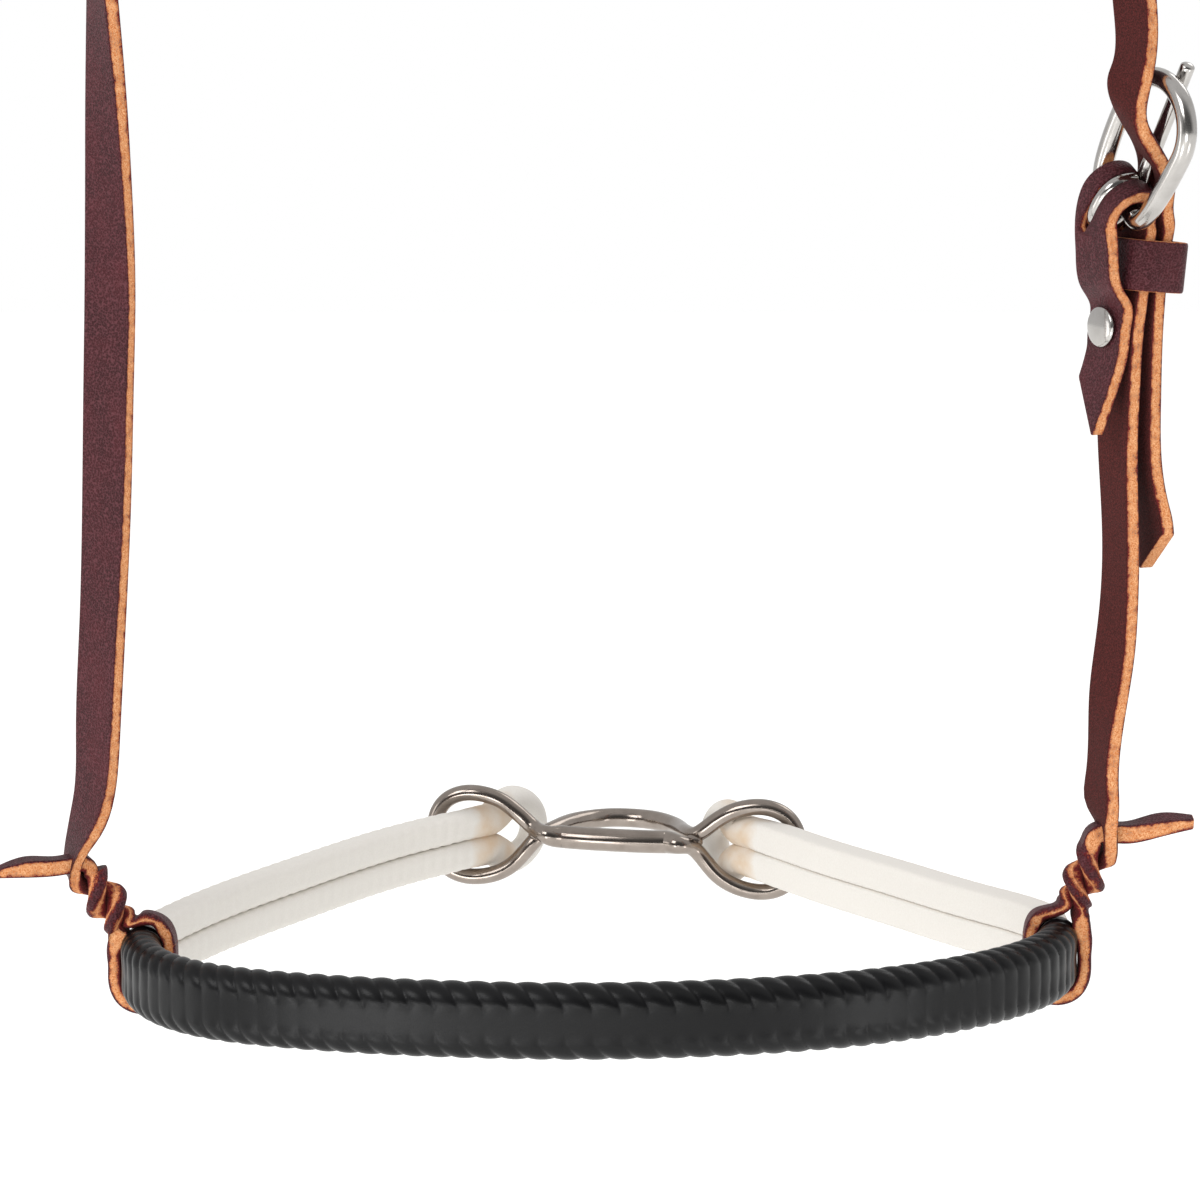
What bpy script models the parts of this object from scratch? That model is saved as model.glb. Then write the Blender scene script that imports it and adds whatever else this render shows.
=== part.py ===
"""Rope noseband on a leather headstall: two ropes under a smooth black cover, a wire chin fitting
with a tie-down ring behind, and a crown strap and a buckled hanger that hold it up.

Metres, +Z up, X to the right, Y to the back. The origin is the underside of the crown strap's
flat top, where it lies on the poll. The noseband hangs HEADSTALL_DROP below it.
"""

import math

import bmesh
import bpy
import numpy as np
from mathutils import Matrix, Vector

MM = 0.001
GAP = 0.3 * MM  # between pieces that touch

# The noseband as it hangs, measured along its rope's middle line.
NOSE_WIDTH = 222.6 * MM
NOSE_DEPTH = 179.5 * MM  # from the front of the rope to the middle of the chin fitting
FRONT_OF_STRAPS = 57 * MM  # the front lies this far in front of the straps
HEADSTALL_DROP = 470 * MM
CROWN_RISE = 120 * MM  # height of the arch over the straight straps
CROWN_FLAT = 40 * MM

# Ropes and their cover.
ROPE_DIAMETER = 7.9 * MM
COVER_CLEARANCE = 0.25 * MM
COVER_WALL = 0.5 * MM
COVER_PAST_LOOP = 1.5 * MM

# Chin fitting: one nickelled wire, welded where it crosses itself.
WIRE_DIAMETER = 4.5 * MM
FITTING_LENGTH = 107 * MM
RING_RADIUS = 17.8 * MM  # half the tie-down ring's width, at the middle of its wire
RING_FRONT = 3 * MM  # the ring is a D: its nearly straight front lies this far before the necks
RING_BACK = 25.5 * MM  # and its bow this far behind them
RING_SWELL = 1.18  # the wire's thickness in the ring, as a share of its thickness in the eyes
NECK_FROM_MIDDLE = 22 * MM
EYE_RISE = 12 * MM  # middle of the wire over the fitting's plane
RING_LIFT = 2.6 * MM  # of the ring over the eyes' middle
RING_SAG = 1.4 * MM  # of the ring between its necks
FITTING_LIFT = 0.2 * MM
FITTING_ROLL = math.radians(0.7)  # left eye up
WELD_RADIUS = 2 * MM
FITTING_YAW = math.radians(10)
FITTING_OFFSET = 4.2 * MM  # to the right of the noseband's middle

# Straps and the two strips of each knot.
STRAP_WIDTH = 12.3 * MM
STRAP_THICKNESS = 3.6 * MM
STRIP_WIDTH = 5.8 * MM
STRIP_THICKNESS = 2.9 * MM
KNOT_THICKNESS = 3.5 * MM  # of a strip where the twist rounds it
KNOT_GAP = 0.7 * MM
LOOP_CLEARANCE_HIGH = 0.85 * MM
LOOP_CLEARANCE_WIDE = 0.5 * MM
TAIL_WIDTH = 5.2 * MM
TAIL_THICKNESS = 3.3 * MM
SLIT_CLEARANCE = 0.4 * MM

# Buckle at the right cheek.
BUCKLE_WIRE = 4.7 * MM
BUCKLE_LENGTH = 32.5 * MM  # bar to top, at the middle of the wire
BUCKLE_HALF_WIDTH = 12.05 * MM
BUCKLE_WIDEST = 21.3 * MM  # from the bar
BAR_HALF = 7.5 * MM
TONGUE_WIRE = 3.5 * MM
TONGUE_PAST_FRAME = 2.2 * MM
TONGUE_CLEARANCE = 0.7 * MM
TONGUE_HOLE = 15 * MM  # length of the crown strap's hole for the tongue
HOLE_UP = 11.2 * MM  # its middle, up the frame from the bar
TONGUE_SLOT = 14 * MM  # length of the hanger's slot for the tongue
SLOT_UP = 1.6 * MM
SLOT_CLEARANCE = 0.6 * MM
FOLD_CLEARANCE = 1.4 * MM
BUCKLE_OUT = 10.4 * MM  # of the right loop
BUCKLE_BACK = -5.5 * MM
BUCKLE_HEIGHT = 183.4 * MM
BUCKLE_FACE = 60
BUCKLE_ROLL = 35

# Keeper and rivet.
KEEPER_HEIGHT = 12 * MM
KEEPER_WALL = 2 * MM
KEEPER_LEVEL = 168.4 * MM
KEEPER_CLEARANCE = 0.75 * MM
KEEPER_SLACK = 3.9 * MM  # between the two layers and the outer wall
RIVET_CAP_RADIUS = 4.85 * MM
RIVET_CAP_HEIGHT = 1.5 * MM
RIVET_STEM_RADIUS = 1.6 * MM
RIVET_HEAD_RADIUS = 3 * MM
RIVET_LEVEL = 153.7 * MM

# Plan of the rope, left end to right end: shares of half the width to the right, and of the depth
# to the back. The stretches beyond the eyes are set by the chin fitting.
ROPE_PLAN = (
    (-0.494, 0.914),
    (-0.710, 0.705),
    (-0.828, 0.579),
    (-0.936, 0.440),
    (-0.9955, 0.295),
    (-0.960, 0.194),
    (-0.860, 0.114),
    (-0.629, 0.048),
    (-0.323, 0.011),
    (0.0, 0.0),
    (0.314, 0.022),
    (0.622, 0.082),
    (0.852, 0.176),
    (0.955, 0.250),
    (1.0045, 0.340),
    (0.975, 0.434),
    (0.866, 0.528),
    (0.702, 0.672),
    (0.533, 0.822),
)
LEFT_LOOP = Vector((-0.9955, 0.295, 0))
RIGHT_LOOP = Vector((1.0045, 0.340, 0))

# Where the rope passes each eye, how far along the fitting, and its bight behind: where the two
# strands part, its widest place, reach and swell, and its turn from straight back toward the middle.
LEFT_BIGHT = {
    "in_eye": FITTING_LENGTH / 2 - 13.5 * MM,
    "flare": 5 * MM,
    "widest": 14 * MM,
    "reach": 23 * MM,
    "swell": 8.2 * MM,
    "turn": 45,
}
RIGHT_BIGHT = {
    "in_eye": FITTING_LENGTH / 2 - 14 * MM,
    "flare": 6.5 * MM,
    "widest": 11.5 * MM,
    "reach": 17.5 * MM,
    "swell": 7.4 * MM,
    "turn": 40,
}

# Knots: the twisted pair's foot and head, out from the rope and up (mm), its turn in degrees,
# the level of the slit, and the length and rise of the tail out of the strap's middle.
LEFT_KNOT = {"foot": (5.4, 9.4), "head": (13.4, 21.8), "turn": 360, "slit": 24.2, "tail": 19.0, "rise": 0.1}
RIGHT_KNOT = {"foot": (3.8, 12.6), "head": (9.0, 24.8), "turn": 336, "slit": 29.6, "tail": 20.4, "rise": 2.6}

# Straps: out from the loop, back and up (mm), and the degrees between the face and the front.
LEFT_STRAP = (
    (13.8, -0.5, 31.5, 60),
    (11.0, 0, 41, 47),
    (9.8, 0.6, 56, 40),
    (8.2, 1.4, 83, 36),
    (6.6, 2.6, 116, 29),
    (5.8, 3.4, 140, 26),
    (5.1, 4, 161, 25),
    (4.9, 4, 187, 37),
    (5.0, 4, 203, 45),
    (5.4, 4, 230, 62),
    (6.3, 4, 270, 80),
    (7.5, 4, 310, 90),
)
HANGER = (
    (10.3, -0.5, 36, 74),
    (10.0, -0.8, 43.6, 74),
    (11.0, -2, 64.8, 65),
    (12.0, -3, 75.5, 63),
    (12.7, -3.5, 87, 67),
    (12.7, -4, 102, 69),
    (12.2, -4, 112, 68),
    (11.4, -3.8, 129, 63),
    (11.5, -3.4, 140, 60),
    (12.2, -2.8, 153.7, 60),
    (12.9, -2.6, 160, 60),
    (13.7, -2.4, 169, 60),
    (14.5, -2.3, 175, 60),
)
# Levels (mm) and gaps between the hanger and the lap inside it, and the crown's tail outside it.
LAP_GAPS = ((172, 6.9), (167, 5.8), (163, 4.1), (158.5, 0.6), (153.7, 0.3), (148.5, 0.45), (143, 1.8), (135.5, 4.4))
TAIL_GAPS = ((176, 1.8), (169, 1.5), (160, 1.6), (153.7, 2.1), (136, 2.8), (117, 3.6), (106, 5.6), (99.5, 6.2))
CROWN_RIGHT = ((7.5, -4, 310, 90), (10.5, -5.5, 270, 80), (11.7, -12.8, 230, 60), (11.5, -16.2, 216, 62))
# The crown through the buckle: along the bar, up from it and out of the frame's plane (mm).
THROUGH_BUCKLE = ((-5.0, 24.5, -6.3), (-2.2, 20.0, -3.4), (-0.2, 15.5, 1.0), (0, 8.5, 6.8), (0, 0.5, 10.1))


def spline(knots, values, at):
    """Natural cubic spline through the values at the knots, read at the places in at."""
    gaps = np.diff(knots)
    slopes = np.diff(values, axis=0) / gaps[:, None]
    system = np.eye(len(knots))
    bends = np.zeros_like(values)
    for i in range(1, len(knots) - 1):
        system[i, i - 1 : i + 2] = gaps[i - 1], 2 * (gaps[i - 1] + gaps[i]), gaps[i]
        bends[i] = 6 * (slopes[i] - slopes[i - 1])
    bends = np.linalg.solve(system, bends)
    i = np.clip(np.searchsorted(knots, at) - 1, 0, len(knots) - 2)
    after = ((at - knots[i]) / gaps[i])[:, None]
    before = 1 - after
    curved = (before**3 - before) * bends[i] + (after**3 - after) * bends[i + 1]
    return before * values[i] + after * values[i + 1] + curved * (gaps[i] ** 2)[:, None] / 6


def run_of(points):
    """Distance along a line of points, from its first."""
    return np.concatenate([[0], np.cumsum(np.linalg.norm(np.diff(points, axis=0), axis=1))])


def smooth(stations, steps):
    """Reads the smooth line through the stations, whose first three columns are a place. steps
    holds (station number, step) pairs: as far as that station it reads at that step."""
    stations = np.array(stations, float)
    knots = run_of(stations[:, :3])
    fine = spline(knots, stations, np.linspace(0, knots[-1], 30 * len(stations)))
    run = run_of(fine[:, :3])
    wanted = [np.zeros(1)]
    for number, step in steps:
        start, end = wanted[-1][-1], run[-1] * knots[number] / knots[-1]
        wanted.append(np.linspace(start, end, max(2, round((end - start) / step) + 1))[1:])
    wanted = np.concatenate(wanted)
    return np.stack([np.interp(wanted, run, column) for column in fine.T], axis=1)


def unit(vectors):
    return vectors / np.linalg.norm(vectors, axis=-1, keepdims=True)


def material(name, colour, roughness, metallic=0.0):
    made = bpy.data.materials.new(name)
    made.use_nodes = True
    shader = made.node_tree.nodes["Principled BSDF"]
    shader.inputs["Base Color"].default_value = (*colour, 1)
    shader.inputs["Roughness"].default_value = roughness
    shader.inputs["Metallic"].default_value = metallic
    return made


def add_object(name, data, finish):
    obj = bpy.data.objects.new(name, data)
    bpy.context.scene.collection.objects.link(obj)
    if finish:
        data.materials.append(finish)
    return obj


def add_mesh(name, bm, finish):
    bmesh.ops.recalc_face_normals(bm, faces=bm.faces)
    mesh = bpy.data.meshes.new(name)
    bm.to_mesh(mesh)
    bm.free()
    return add_object(name, mesh, finish)


def tube(name, points, radius, finish, closed=False, sides=3, swells=None):
    """A wire or rope along the points; swells holds its thickness at each, as a share of radius."""
    curve = bpy.data.curves.new(name, "CURVE")
    curve.dimensions = "3D"
    curve.bevel_depth = radius
    curve.bevel_resolution = sides
    curve.use_fill_caps = not closed
    line = curve.splines.new("POLY")
    line.points.add(len(points) - 1)
    for point, place in zip(line.points, points):
        point.co = (*place, 1)
    for point, swell in zip(line.points, () if swells is None else swells):
        point.radius = swell
    line.use_cyclic_u = closed
    return add_object(name, curve, finish)


def to_mesh(obj, finish):
    """The curve object as a mesh object with welded caps, so that it can be cut or joined."""
    graph = bpy.context.evaluated_depsgraph_get()
    mesh = bpy.data.meshes.new_from_object(obj.evaluated_get(graph))
    bm = bmesh.new()
    bm.from_mesh(mesh)
    bmesh.ops.remove_doubles(bm, verts=bm.verts, dist=0.01 * MM)
    name = obj.name
    bpy.data.objects.remove(obj)
    return add_mesh(name, bm, finish)


def loft(name, stations, finish):
    """A strap: a rectangle carried along stations, each a place, half the thickness as a vector
    and half the width as a vector."""
    bm = bmesh.new()
    rings = []
    for row in stations:
        centre, thick, wide = Vector(row[:3]), Vector(row[3:6]), Vector(row[6:9])
        corners = (wide + thick, thick - wide, -wide - thick, wide - thick)
        rings.append([bm.verts.new(centre + corner) for corner in corners])
    for ring, following in zip(rings, rings[1:]):
        for i in range(4):
            bm.faces.new((ring[i], ring[i - 1], following[i - 1], following[i]))
    bm.faces.new(rings[0])
    bm.faces.new(reversed(rings[-1]))
    return add_mesh(name, bm, finish)


def boolean(obj, other, operation):
    modifier = obj.modifiers.new(operation.title() + " " + other.name, "BOOLEAN")
    modifier.operation = operation
    modifier.object = other


def as_helper(obj):
    obj.hide_render = True
    obj.display_type = "WIRE"
    return obj


def cutter_box(name, size, matrix):
    bm = bmesh.new()
    bmesh.ops.create_cube(bm, size=1, matrix=matrix @ Matrix.Diagonal((*size, 1)))
    return as_helper(add_mesh(name, bm, None))


def axes_matrix(x_axis, y_axis, z_axis, place):
    turned = Matrix((x_axis, y_axis, z_axis)).transposed()
    return Matrix.Translation(Vector(place)) @ turned.to_4x4()


ROPE_RADIUS = ROPE_DIAMETER / 2
ROPE_RISE = ROPE_RADIUS + GAP / 2  # each rope's middle from the noseband's plane
COVER_RADIUS = ROPE_RADIUS + COVER_CLEARANCE + COVER_WALL
WIRE_RADIUS = WIRE_DIAMETER / 2
TONGUE_RISE = BUCKLE_WIRE / 2 + TONGUE_WIRE / 2 + GAP  # of the tongue's middle over the bar's
NOSE_LEVEL = -HEADSTALL_DROP
NOSE_FRONT = -FRONT_OF_STRAPS
UP = Vector((0, 0, 1))


def on_plan(share):
    """The place on the noseband's level at these shares of half its width and of its depth."""
    return Vector((share[0] * NOSE_WIDTH / 2, NOSE_FRONT + share[1] * NOSE_DEPTH, NOSE_LEVEL))


def fitting_matrix():
    """Chin fitting's frame: X along it, Y to the back."""
    place = Vector((FITTING_OFFSET, NOSE_FRONT + NOSE_DEPTH, NOSE_LEVEL + FITTING_LIFT))
    return Matrix.Translation(place) @ Matrix.Rotation(-FITTING_YAW, 4, "Z") @ Matrix.Rotation(FITTING_ROLL, 4, "Y")


def rope_plan():
    """Fine points of the rope's plan from bight to bight, and the run at which each eye lies."""
    fitting = fitting_matrix()
    ends = []
    for side, bight in ((-1, LEFT_BIGHT), (1, RIGHT_BIGHT)):
        eye = np.array(fitting @ Vector((side * bight["in_eye"], 0, 0)))[:2]
        turn = math.radians(bight["turn"])
        way = np.array([-side * math.sin(turn), math.cos(turn)])
        ends.append([eye + way * bight["reach"], eye + way * bight["reach"] * 0.5, eye])
    body = [np.array(on_plan(share))[:2] for share in ROPE_PLAN]
    points = np.array(ends[0] + body + ends[1][::-1])
    knots = run_of(points)
    fine = spline(knots, points, np.linspace(0, knots[-1], 1600))
    run = run_of(fine)
    eyes = [run[np.argmin(np.linalg.norm(fine - end[2], axis=1))] for end in ends]
    return fine, run, eyes


def plan_at(plan, where):
    """Points of the plan at these runs, on the noseband's level."""
    fine, run, _ = plan
    flat = [np.interp(where, run, fine[:, axis]) for axis in (0, 1)]
    return np.stack([*flat, np.full(len(where), NOSE_LEVEL)], axis=1)


def loop_run(plan, share):
    fine, run, _ = plan
    return run[np.argmin(np.linalg.norm(fine - np.array(on_plan(share))[:2], axis=1))]


def bight_rise(bight, beyond):
    """Height of the upper rope's middle at a distance beyond the eye, 0 at the bight's end."""
    widest, reach, swell = bight["widest"], bight["reach"], bight["swell"]
    start = bight["flare"]
    rising = np.clip((beyond - start) / (widest - start), 0, 1)
    before = ROPE_RISE + (swell - ROPE_RISE) * rising**2 * (3 - 2 * rising)
    turning = np.clip((beyond - widest) / (reach - widest), 0, 1)
    return np.where(beyond < widest, before, swell * np.sqrt(1 - turning**2))


def add_rope(plan, finish):
    """One endless rope: the upper strand, the right bight, the lower strand, the left bight."""
    _, run, eyes = plan
    quarter = np.linspace(0, math.pi / 2, 7)[1:]
    beyond = []
    for bight in (LEFT_BIGHT, RIGHT_BIGHT):
        near = np.linspace(0, bight["widest"], 6)
        far = bight["widest"] + (bight["reach"] - bight["widest"]) * np.sin(quarter)
        beyond.append(np.concatenate([near, far]))
    between = np.linspace(eyes[0], eyes[1], 76)[1:-1]
    places = np.concatenate([(eyes[0] - beyond[0])[::-1], between, eyes[1] + beyond[1]])
    places = np.clip(places, 0, run[-1])
    left, right = bight_rise(LEFT_BIGHT, beyond[0])[::-1], bight_rise(RIGHT_BIGHT, beyond[1])
    rises = np.concatenate([left, np.full(len(between), ROPE_RISE), right])
    lift = np.outer(rises, (0, 0, 1))
    middle = plan_at(plan, places)
    around = np.concatenate([middle + lift, (middle - lift)[-2:0:-1]])
    return tube("nose_rope", around, ROPE_RADIUS, finish, closed=True, sides=2)


def add_cover(plan, finish):
    """A flattened tube round both strands, past both loops."""
    start = loop_run(plan, LEFT_LOOP) - COVER_PAST_LOOP
    end = loop_run(plan, RIGHT_LOOP) + COVER_PAST_LOOP
    middle = plan_at(plan, np.linspace(start, end, 52))
    side = np.cross(unit(np.gradient(middle, axis=0)), UP)
    turns = [step * math.pi / 6 for step in range(7)]
    outline = [(math.cos(turn), math.sin(turn), 1) for turn in turns]
    outline += [(-x, -z, -1) for x, z, _ in outline]
    bm = bmesh.new()
    shells = []
    for radius in (COVER_RADIUS, COVER_RADIUS - COVER_WALL):
        rings = []
        for centre, out in zip(middle, side):
            ring = []
            for x, z, half in outline:
                ring.append(bm.verts.new(centre + out * x * radius + (0, 0, z * radius + half * ROPE_RISE)))
            rings.append(ring)
        shells.append(rings)
        for ring, following in zip(rings, rings[1:]):
            for i in range(len(ring)):
                bm.faces.new((ring[i], ring[i - 1], following[i - 1], following[i]))
    for outer, inner in ((shells[0][0], shells[1][0]), (shells[0][-1], shells[1][-1])):
        for i in range(len(outer)):
            bm.faces.new((outer[i], outer[i - 1], inner[i - 1], inner[i]))
    return add_mesh("nose_cover", bm, finish)


def fitting_line():
    """Closed middle line of the fitting's wire: one quarter, turned about each of its axes."""
    half, neck, rise = FITTING_LENGTH / 2 - WIRE_RADIUS, NECK_FROM_MIDDLE, EYE_RISE
    quarter = [
        (-half, 0, 0),
        (-half + 0.6 * MM, 0, 0.42 * rise),
        (-half + 3.6 * MM, 0, 0.80 * rise),
        (-half + 8.5 * MM, 0, 0.98 * rise),
        (-half + 13.5 * MM, 0, 0.98 * rise),
        (-half + 18.5 * MM, 0, 0.86 * rise),
        (-neck - 5.0 * MM, -0.5 * MM, 0.52 * rise),
        (-neck, -1.7 * MM, 1.5 * MM),
        (-neck + 2.6 * MM, -4.8 * MM, 0.6 * MM),
        (-0.94 * RING_RADIUS, -0.50 * RING_RADIUS, 0.1 * MM),
        (-0.70 * RING_RADIUS, -0.76 * RING_RADIUS, 0),
        (-0.36 * RING_RADIUS, -0.95 * RING_RADIUS, 0),
        (0, -RING_RADIUS, 0),
    ]
    points = list(quarter)
    points += [(-x, y, -z) for x, y, z in quarter[-2::-1]]
    points += [(-x, -y, z) for x, y, z in quarter[1:]]
    points += [(x, -y, -z) for x, y, z in quarter[-2:0:-1]]
    return points


def add_fitting(finish):
    corners = fitting_line()
    laps = np.array(corners * 3)
    knots = run_of(laps)
    start, end = knots[len(corners)], knots[2 * len(corners)]
    points = spline(knots, laps, np.linspace(start, end, 121)[:-1])
    beyond = np.clip((np.abs(points[:, 0]) - 0.8 * RING_RADIUS) / (0.9 * RING_RADIUS), 0, 1)
    points[:, 2] += RING_LIFT * (1 - beyond**2 * (3 - 2 * beyond))
    inside = np.clip((NECK_FROM_MIDDLE - np.abs(points[:, 0])) / (NECK_FROM_MIDDLE - 0.8 * RING_RADIUS), 0, 1)
    inside = inside**2 * (3 - 2 * inside)
    depth = np.where(points[:, 1] < 0, RING_FRONT, RING_BACK) / RING_RADIUS
    points[:, 1] *= 1 + inside * (depth - 1)
    points[:, 2] -= RING_SAG * inside
    matrix = fitting_matrix()
    places = [matrix @ Vector(point) for point in points]
    swells = 1 + (RING_SWELL - 1) * inside
    wire = tube("chin_fitting", places, WIRE_RADIUS, finish, closed=True, sides=2, swells=swells)
    wire = to_mesh(wire, finish)
    for side, name in ((-1, "left_weld"), (1, "right_weld")):
        bm = bmesh.new()
        place = Matrix.Translation((side * NECK_FROM_MIDDLE, 0, RING_LIFT / 2))
        bmesh.ops.create_icosphere(bm, subdivisions=2, radius=WELD_RADIUS, matrix=matrix @ place)
        boolean(wire, as_helper(add_mesh(name, bm, finish)), "UNION")
    return wire


class Cheek:
    """Places and directions at one side: out from the noseband, back and up."""

    def __init__(self, loop, side, plan):
        self.loop = on_plan(loop)
        self.side = side
        rope = plan_at(plan, loop_run(plan, loop) + np.array([-MM, MM]))
        along = Vector(rope[0] - rope[1]).normalized() * side
        self.rope_back = -along
        self.rope_out = Vector((-along.y, along.x, 0)) * side

    def turned(self, out, back, up):
        return Vector((self.side * out, back, up))

    def place(self, out, back, up):
        return self.loop + self.turned(out, back, up) * MM

    def strap(self, rows):
        """Strap stations: place, outer face's direction and width direction."""
        stations = []
        for out, back, up, face in rows:
            facing, across = self.facing(face)
            stations.append((*self.place(out, back, up), *facing, *across))
        return stations

    def facing(self, face):
        turn = math.radians(face)
        across = Vector((math.cos(turn), -math.sin(turn), 0))
        return Vector((math.sin(turn), math.cos(turn), 0)) * self.side, across


def knot_pair(cheek, knot):
    """Stations of the strap's leg and of the returning leg through the twisted pair, foot first."""
    offset = (KNOT_THICKNESS + KNOT_GAP) / 2
    foot = cheek.place(knot["foot"][0], 0, knot["foot"][1])
    head = cheek.place(knot["head"][0], -0.3, knot["head"][1])
    front = -cheek.rope_back
    outward = (head - foot).normalized().cross(front).normalized()
    if outward.x * cheek.side < 0:
        outward = -outward
    legs = ([], [])
    count = 15
    for step in range(count):
        share = step / (count - 1)
        turn = math.radians(knot["turn"]) * share
        normal = outward * math.cos(turn) + front * math.sin(turn)
        across = front * math.cos(turn) - outward * math.sin(turn)
        centre = foot.lerp(head, share)
        legs[0].append((*(centre + normal * offset), *normal, *across))
        legs[1].append((*(centre - normal * offset), *-normal, *across))
    return legs


def loop_stations(cheek, names):
    """Stations round the noseband by name: the strip's place, outer face and width directions."""
    wide = (COVER_RADIUS + LOOP_CLEARANCE_WIDE + STRIP_THICKNESS / 2) / MM
    high = (ROPE_RISE + COVER_RADIUS + LOOP_CLEARANCE_HIGH + STRIP_THICKNESS / 2) / MM
    straight = high - wide
    spots = {
        "inner_high": (-wide, straight, -1, 0),
        "inner": (-wide, 0, -1, 0),
        "inner_low": (-wide, -straight, -1, 0),
        "under_inner": (-0.71 * wide, -straight - 0.71 * wide, -0.71, -0.71),
        "under": (0, -high, 0, -1),
        "under_outer": (0.71 * wide, -straight - 0.71 * wide, 0.71, -0.71),
        "outer_low": (wide, -straight, 1, 0),
        "outer": (wide, 0, 1, 0),
        "outer_high": (wide, straight - 0.6, 1, 0),
        "over_inner": (-0.71 * wide, straight + 0.71 * wide, -0.71, 0.71),
        "over": (-0.1 * wide, high, 0, 1),
    }
    stations = []
    for name in names:
        out, up, facing_out, facing_up = spots[name]
        place = cheek.loop + (cheek.rope_out * out + UP * up) * MM
        facing = cheek.rope_out * facing_out + UP * facing_up
        stations.append((*place, *facing, *-cheek.rope_back))
    return stations


def sized(read):
    """Loft stations from rows of place, outer face, width direction, half width, half thickness."""
    facing = unit(read[:, 3:6]) * read[:, 10:11]
    across = unit(read[:, 6:9]) * read[:, 9:10]
    return np.concatenate([read[:, :3], facing, across], axis=1)


def add_strap(name, cheek, knot, above, finish, fine_from):
    """A strap that rises from its loop through the knot, with the returning leg and tail through
    its slit. above holds the stations over the knot, closely followed from number fine_from."""
    strip, strap = STRIP_WIDTH / 2, STRAP_WIDTH / 2
    names = ("inner_high", "inner", "inner_low", "under_inner", "under", "under_outer", "outer_low", "outer", "outer_high")
    loop = loop_stations(cheek, names)
    leg, back = knot_pair(cheek, knot)
    widths = [strip] * (len(loop) + 9) + list(np.linspace(strip, 0.96 * strap, len(leg) - 9)) + [strap] * len(above)
    thicknesses = [STRIP_THICKNESS / 2] * len(loop) + [KNOT_THICKNESS / 2] * 9
    thicknesses += [STRAP_THICKNESS / 2] * (len(leg) - 9 + len(above))
    rows = [(*row, w, t) for row, w, t in zip(loop + leg + above, widths, thicknesses)]
    first = len(loop) + len(leg)
    read = smooth(rows, [(first, 1.1 * MM), (first + fine_from, 4.2 * MM), (len(rows) - 1, 1.6 * MM)])
    flat = read[:, 2] > STRAP_THICKNESS / 2 - 0.01 * MM
    read[flat, 2] = STRAP_THICKNESS / 2
    read[flat, 3:6] = UP
    strap_obj = loft(name, sized(read), finish)

    level = cheek.loop.z + knot["slit"] * MM
    knotted = read[np.argmax((read[:, 2] > level) & (read[:, 9] > 0.9 * strap))]
    middle, facing, across = Vector(knotted[:3]), Vector(knotted[3:6]), Vector(knotted[6:9])
    facing.z = across.z = 0
    facing.normalize()
    across.normalize()
    tail = []
    for along, up, lean in ((-3.9, -2.0, 0.2), (-3.3, -0.6, 0.55), (-1.5, 0.35, 0.95), (0.6, 0.3, 1), (4, 0.05, 1)):
        place = middle + facing * along * MM + UP * up * MM
        tail.append((*place, *(facing * (lean - 1) + UP * lean), *across))
    last = middle + facing * knot["tail"] * MM + UP * knot["rise"] * MM
    tail.append((*Vector(tail[-1][:3]).lerp(last, 0.5), *UP, *across))
    tail.append((*last, *UP, *across))
    returning = loop_stations(cheek, ("inner", "inner_high", "over_inner", "over")) + back[:-1]
    less = 0.04 * MM
    halves = [STRIP_THICKNESS / 2 - less] * 4 + [KNOT_THICKNESS / 2 - less] * (len(back) - 1)
    rows = [(*row, strip - less, half) for row, half in zip(returning, halves)]
    rows += [(*row, TAIL_WIDTH / 2, TAIL_THICKNESS / 2) for row in tail]
    read = smooth(rows, [(len(rows) - 1, 1.1 * MM)])
    tail_obj = loft(name + "_tail", sized(read), finish)

    near = read[np.linalg.norm(read[:, :3] - np.array(middle), axis=1) < 4.2 * MM]
    near[:, 9] += SLIT_CLEARANCE
    near[:, 10] += SLIT_CLEARANCE
    boolean(strap_obj, as_helper(loft(name + "_slit", sized(near), None)), "DIFFERENCE")
    boolean(strap_obj, as_helper(tail_obj), "UNION")
    return strap_obj


def buckle_matrix(cheek):
    """Buckle's frame at the middle of its bar: X along the bar, Y up the frame, Z out of it."""
    roll = math.radians(BUCKLE_ROLL)
    out, level = cheek.facing(BUCKLE_FACE)
    along = level * math.cos(roll) - UP * math.sin(roll)
    upward = level * math.sin(roll) + UP * math.cos(roll)
    place = cheek.loop + Vector((BUCKLE_OUT, BUCKLE_BACK, BUCKLE_HEIGHT))
    return axes_matrix(along, upward, out, place)


def hanger_at(level):
    """Out, back, up and face angle of the hanger at a level (mm) over the noseband."""
    rows = np.array(HANGER)
    if level > rows[-1, 2]:
        return (rows[-1, 0] + 0.02 * (level - rows[-1, 2]), rows[-1, 1], level, rows[-1, 3])
    return spline(rows[:, 2], rows, np.array([float(level)]))[0]


def beside_hanger(cheek, gaps, side):
    """Strap stations beside the hanger's outer (1) or inner (-1) face, facing away from it."""
    stations = []
    for level, gap in gaps:
        out, back, _, face = hanger_at(level)
        facing, across = cheek.facing(face)
        facing = facing * side
        place = cheek.place(out, back, level) + facing * (gap * MM + STRAP_THICKNESS)
        stations.append((*place, *facing, *across))
    return stations


def fold_stations(buckle):
    """Stations of the hanger over the bar, from its outer side to its inner side."""
    radius = BUCKLE_WIRE / 2 + FOLD_CLEARANCE + STRAP_THICKNESS / 2
    turned = buckle.to_3x3()
    stations = []
    for degrees in (0, 30, 60, 90, 120, 150, 180):
        turn = math.radians(degrees)
        facing = turned @ Vector((0, math.sin(turn), math.cos(turn)))
        stations.append((*(buckle.translation + facing * radius), *facing, *(turned @ Vector((1, 0, 0)))))
    return stations


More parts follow.
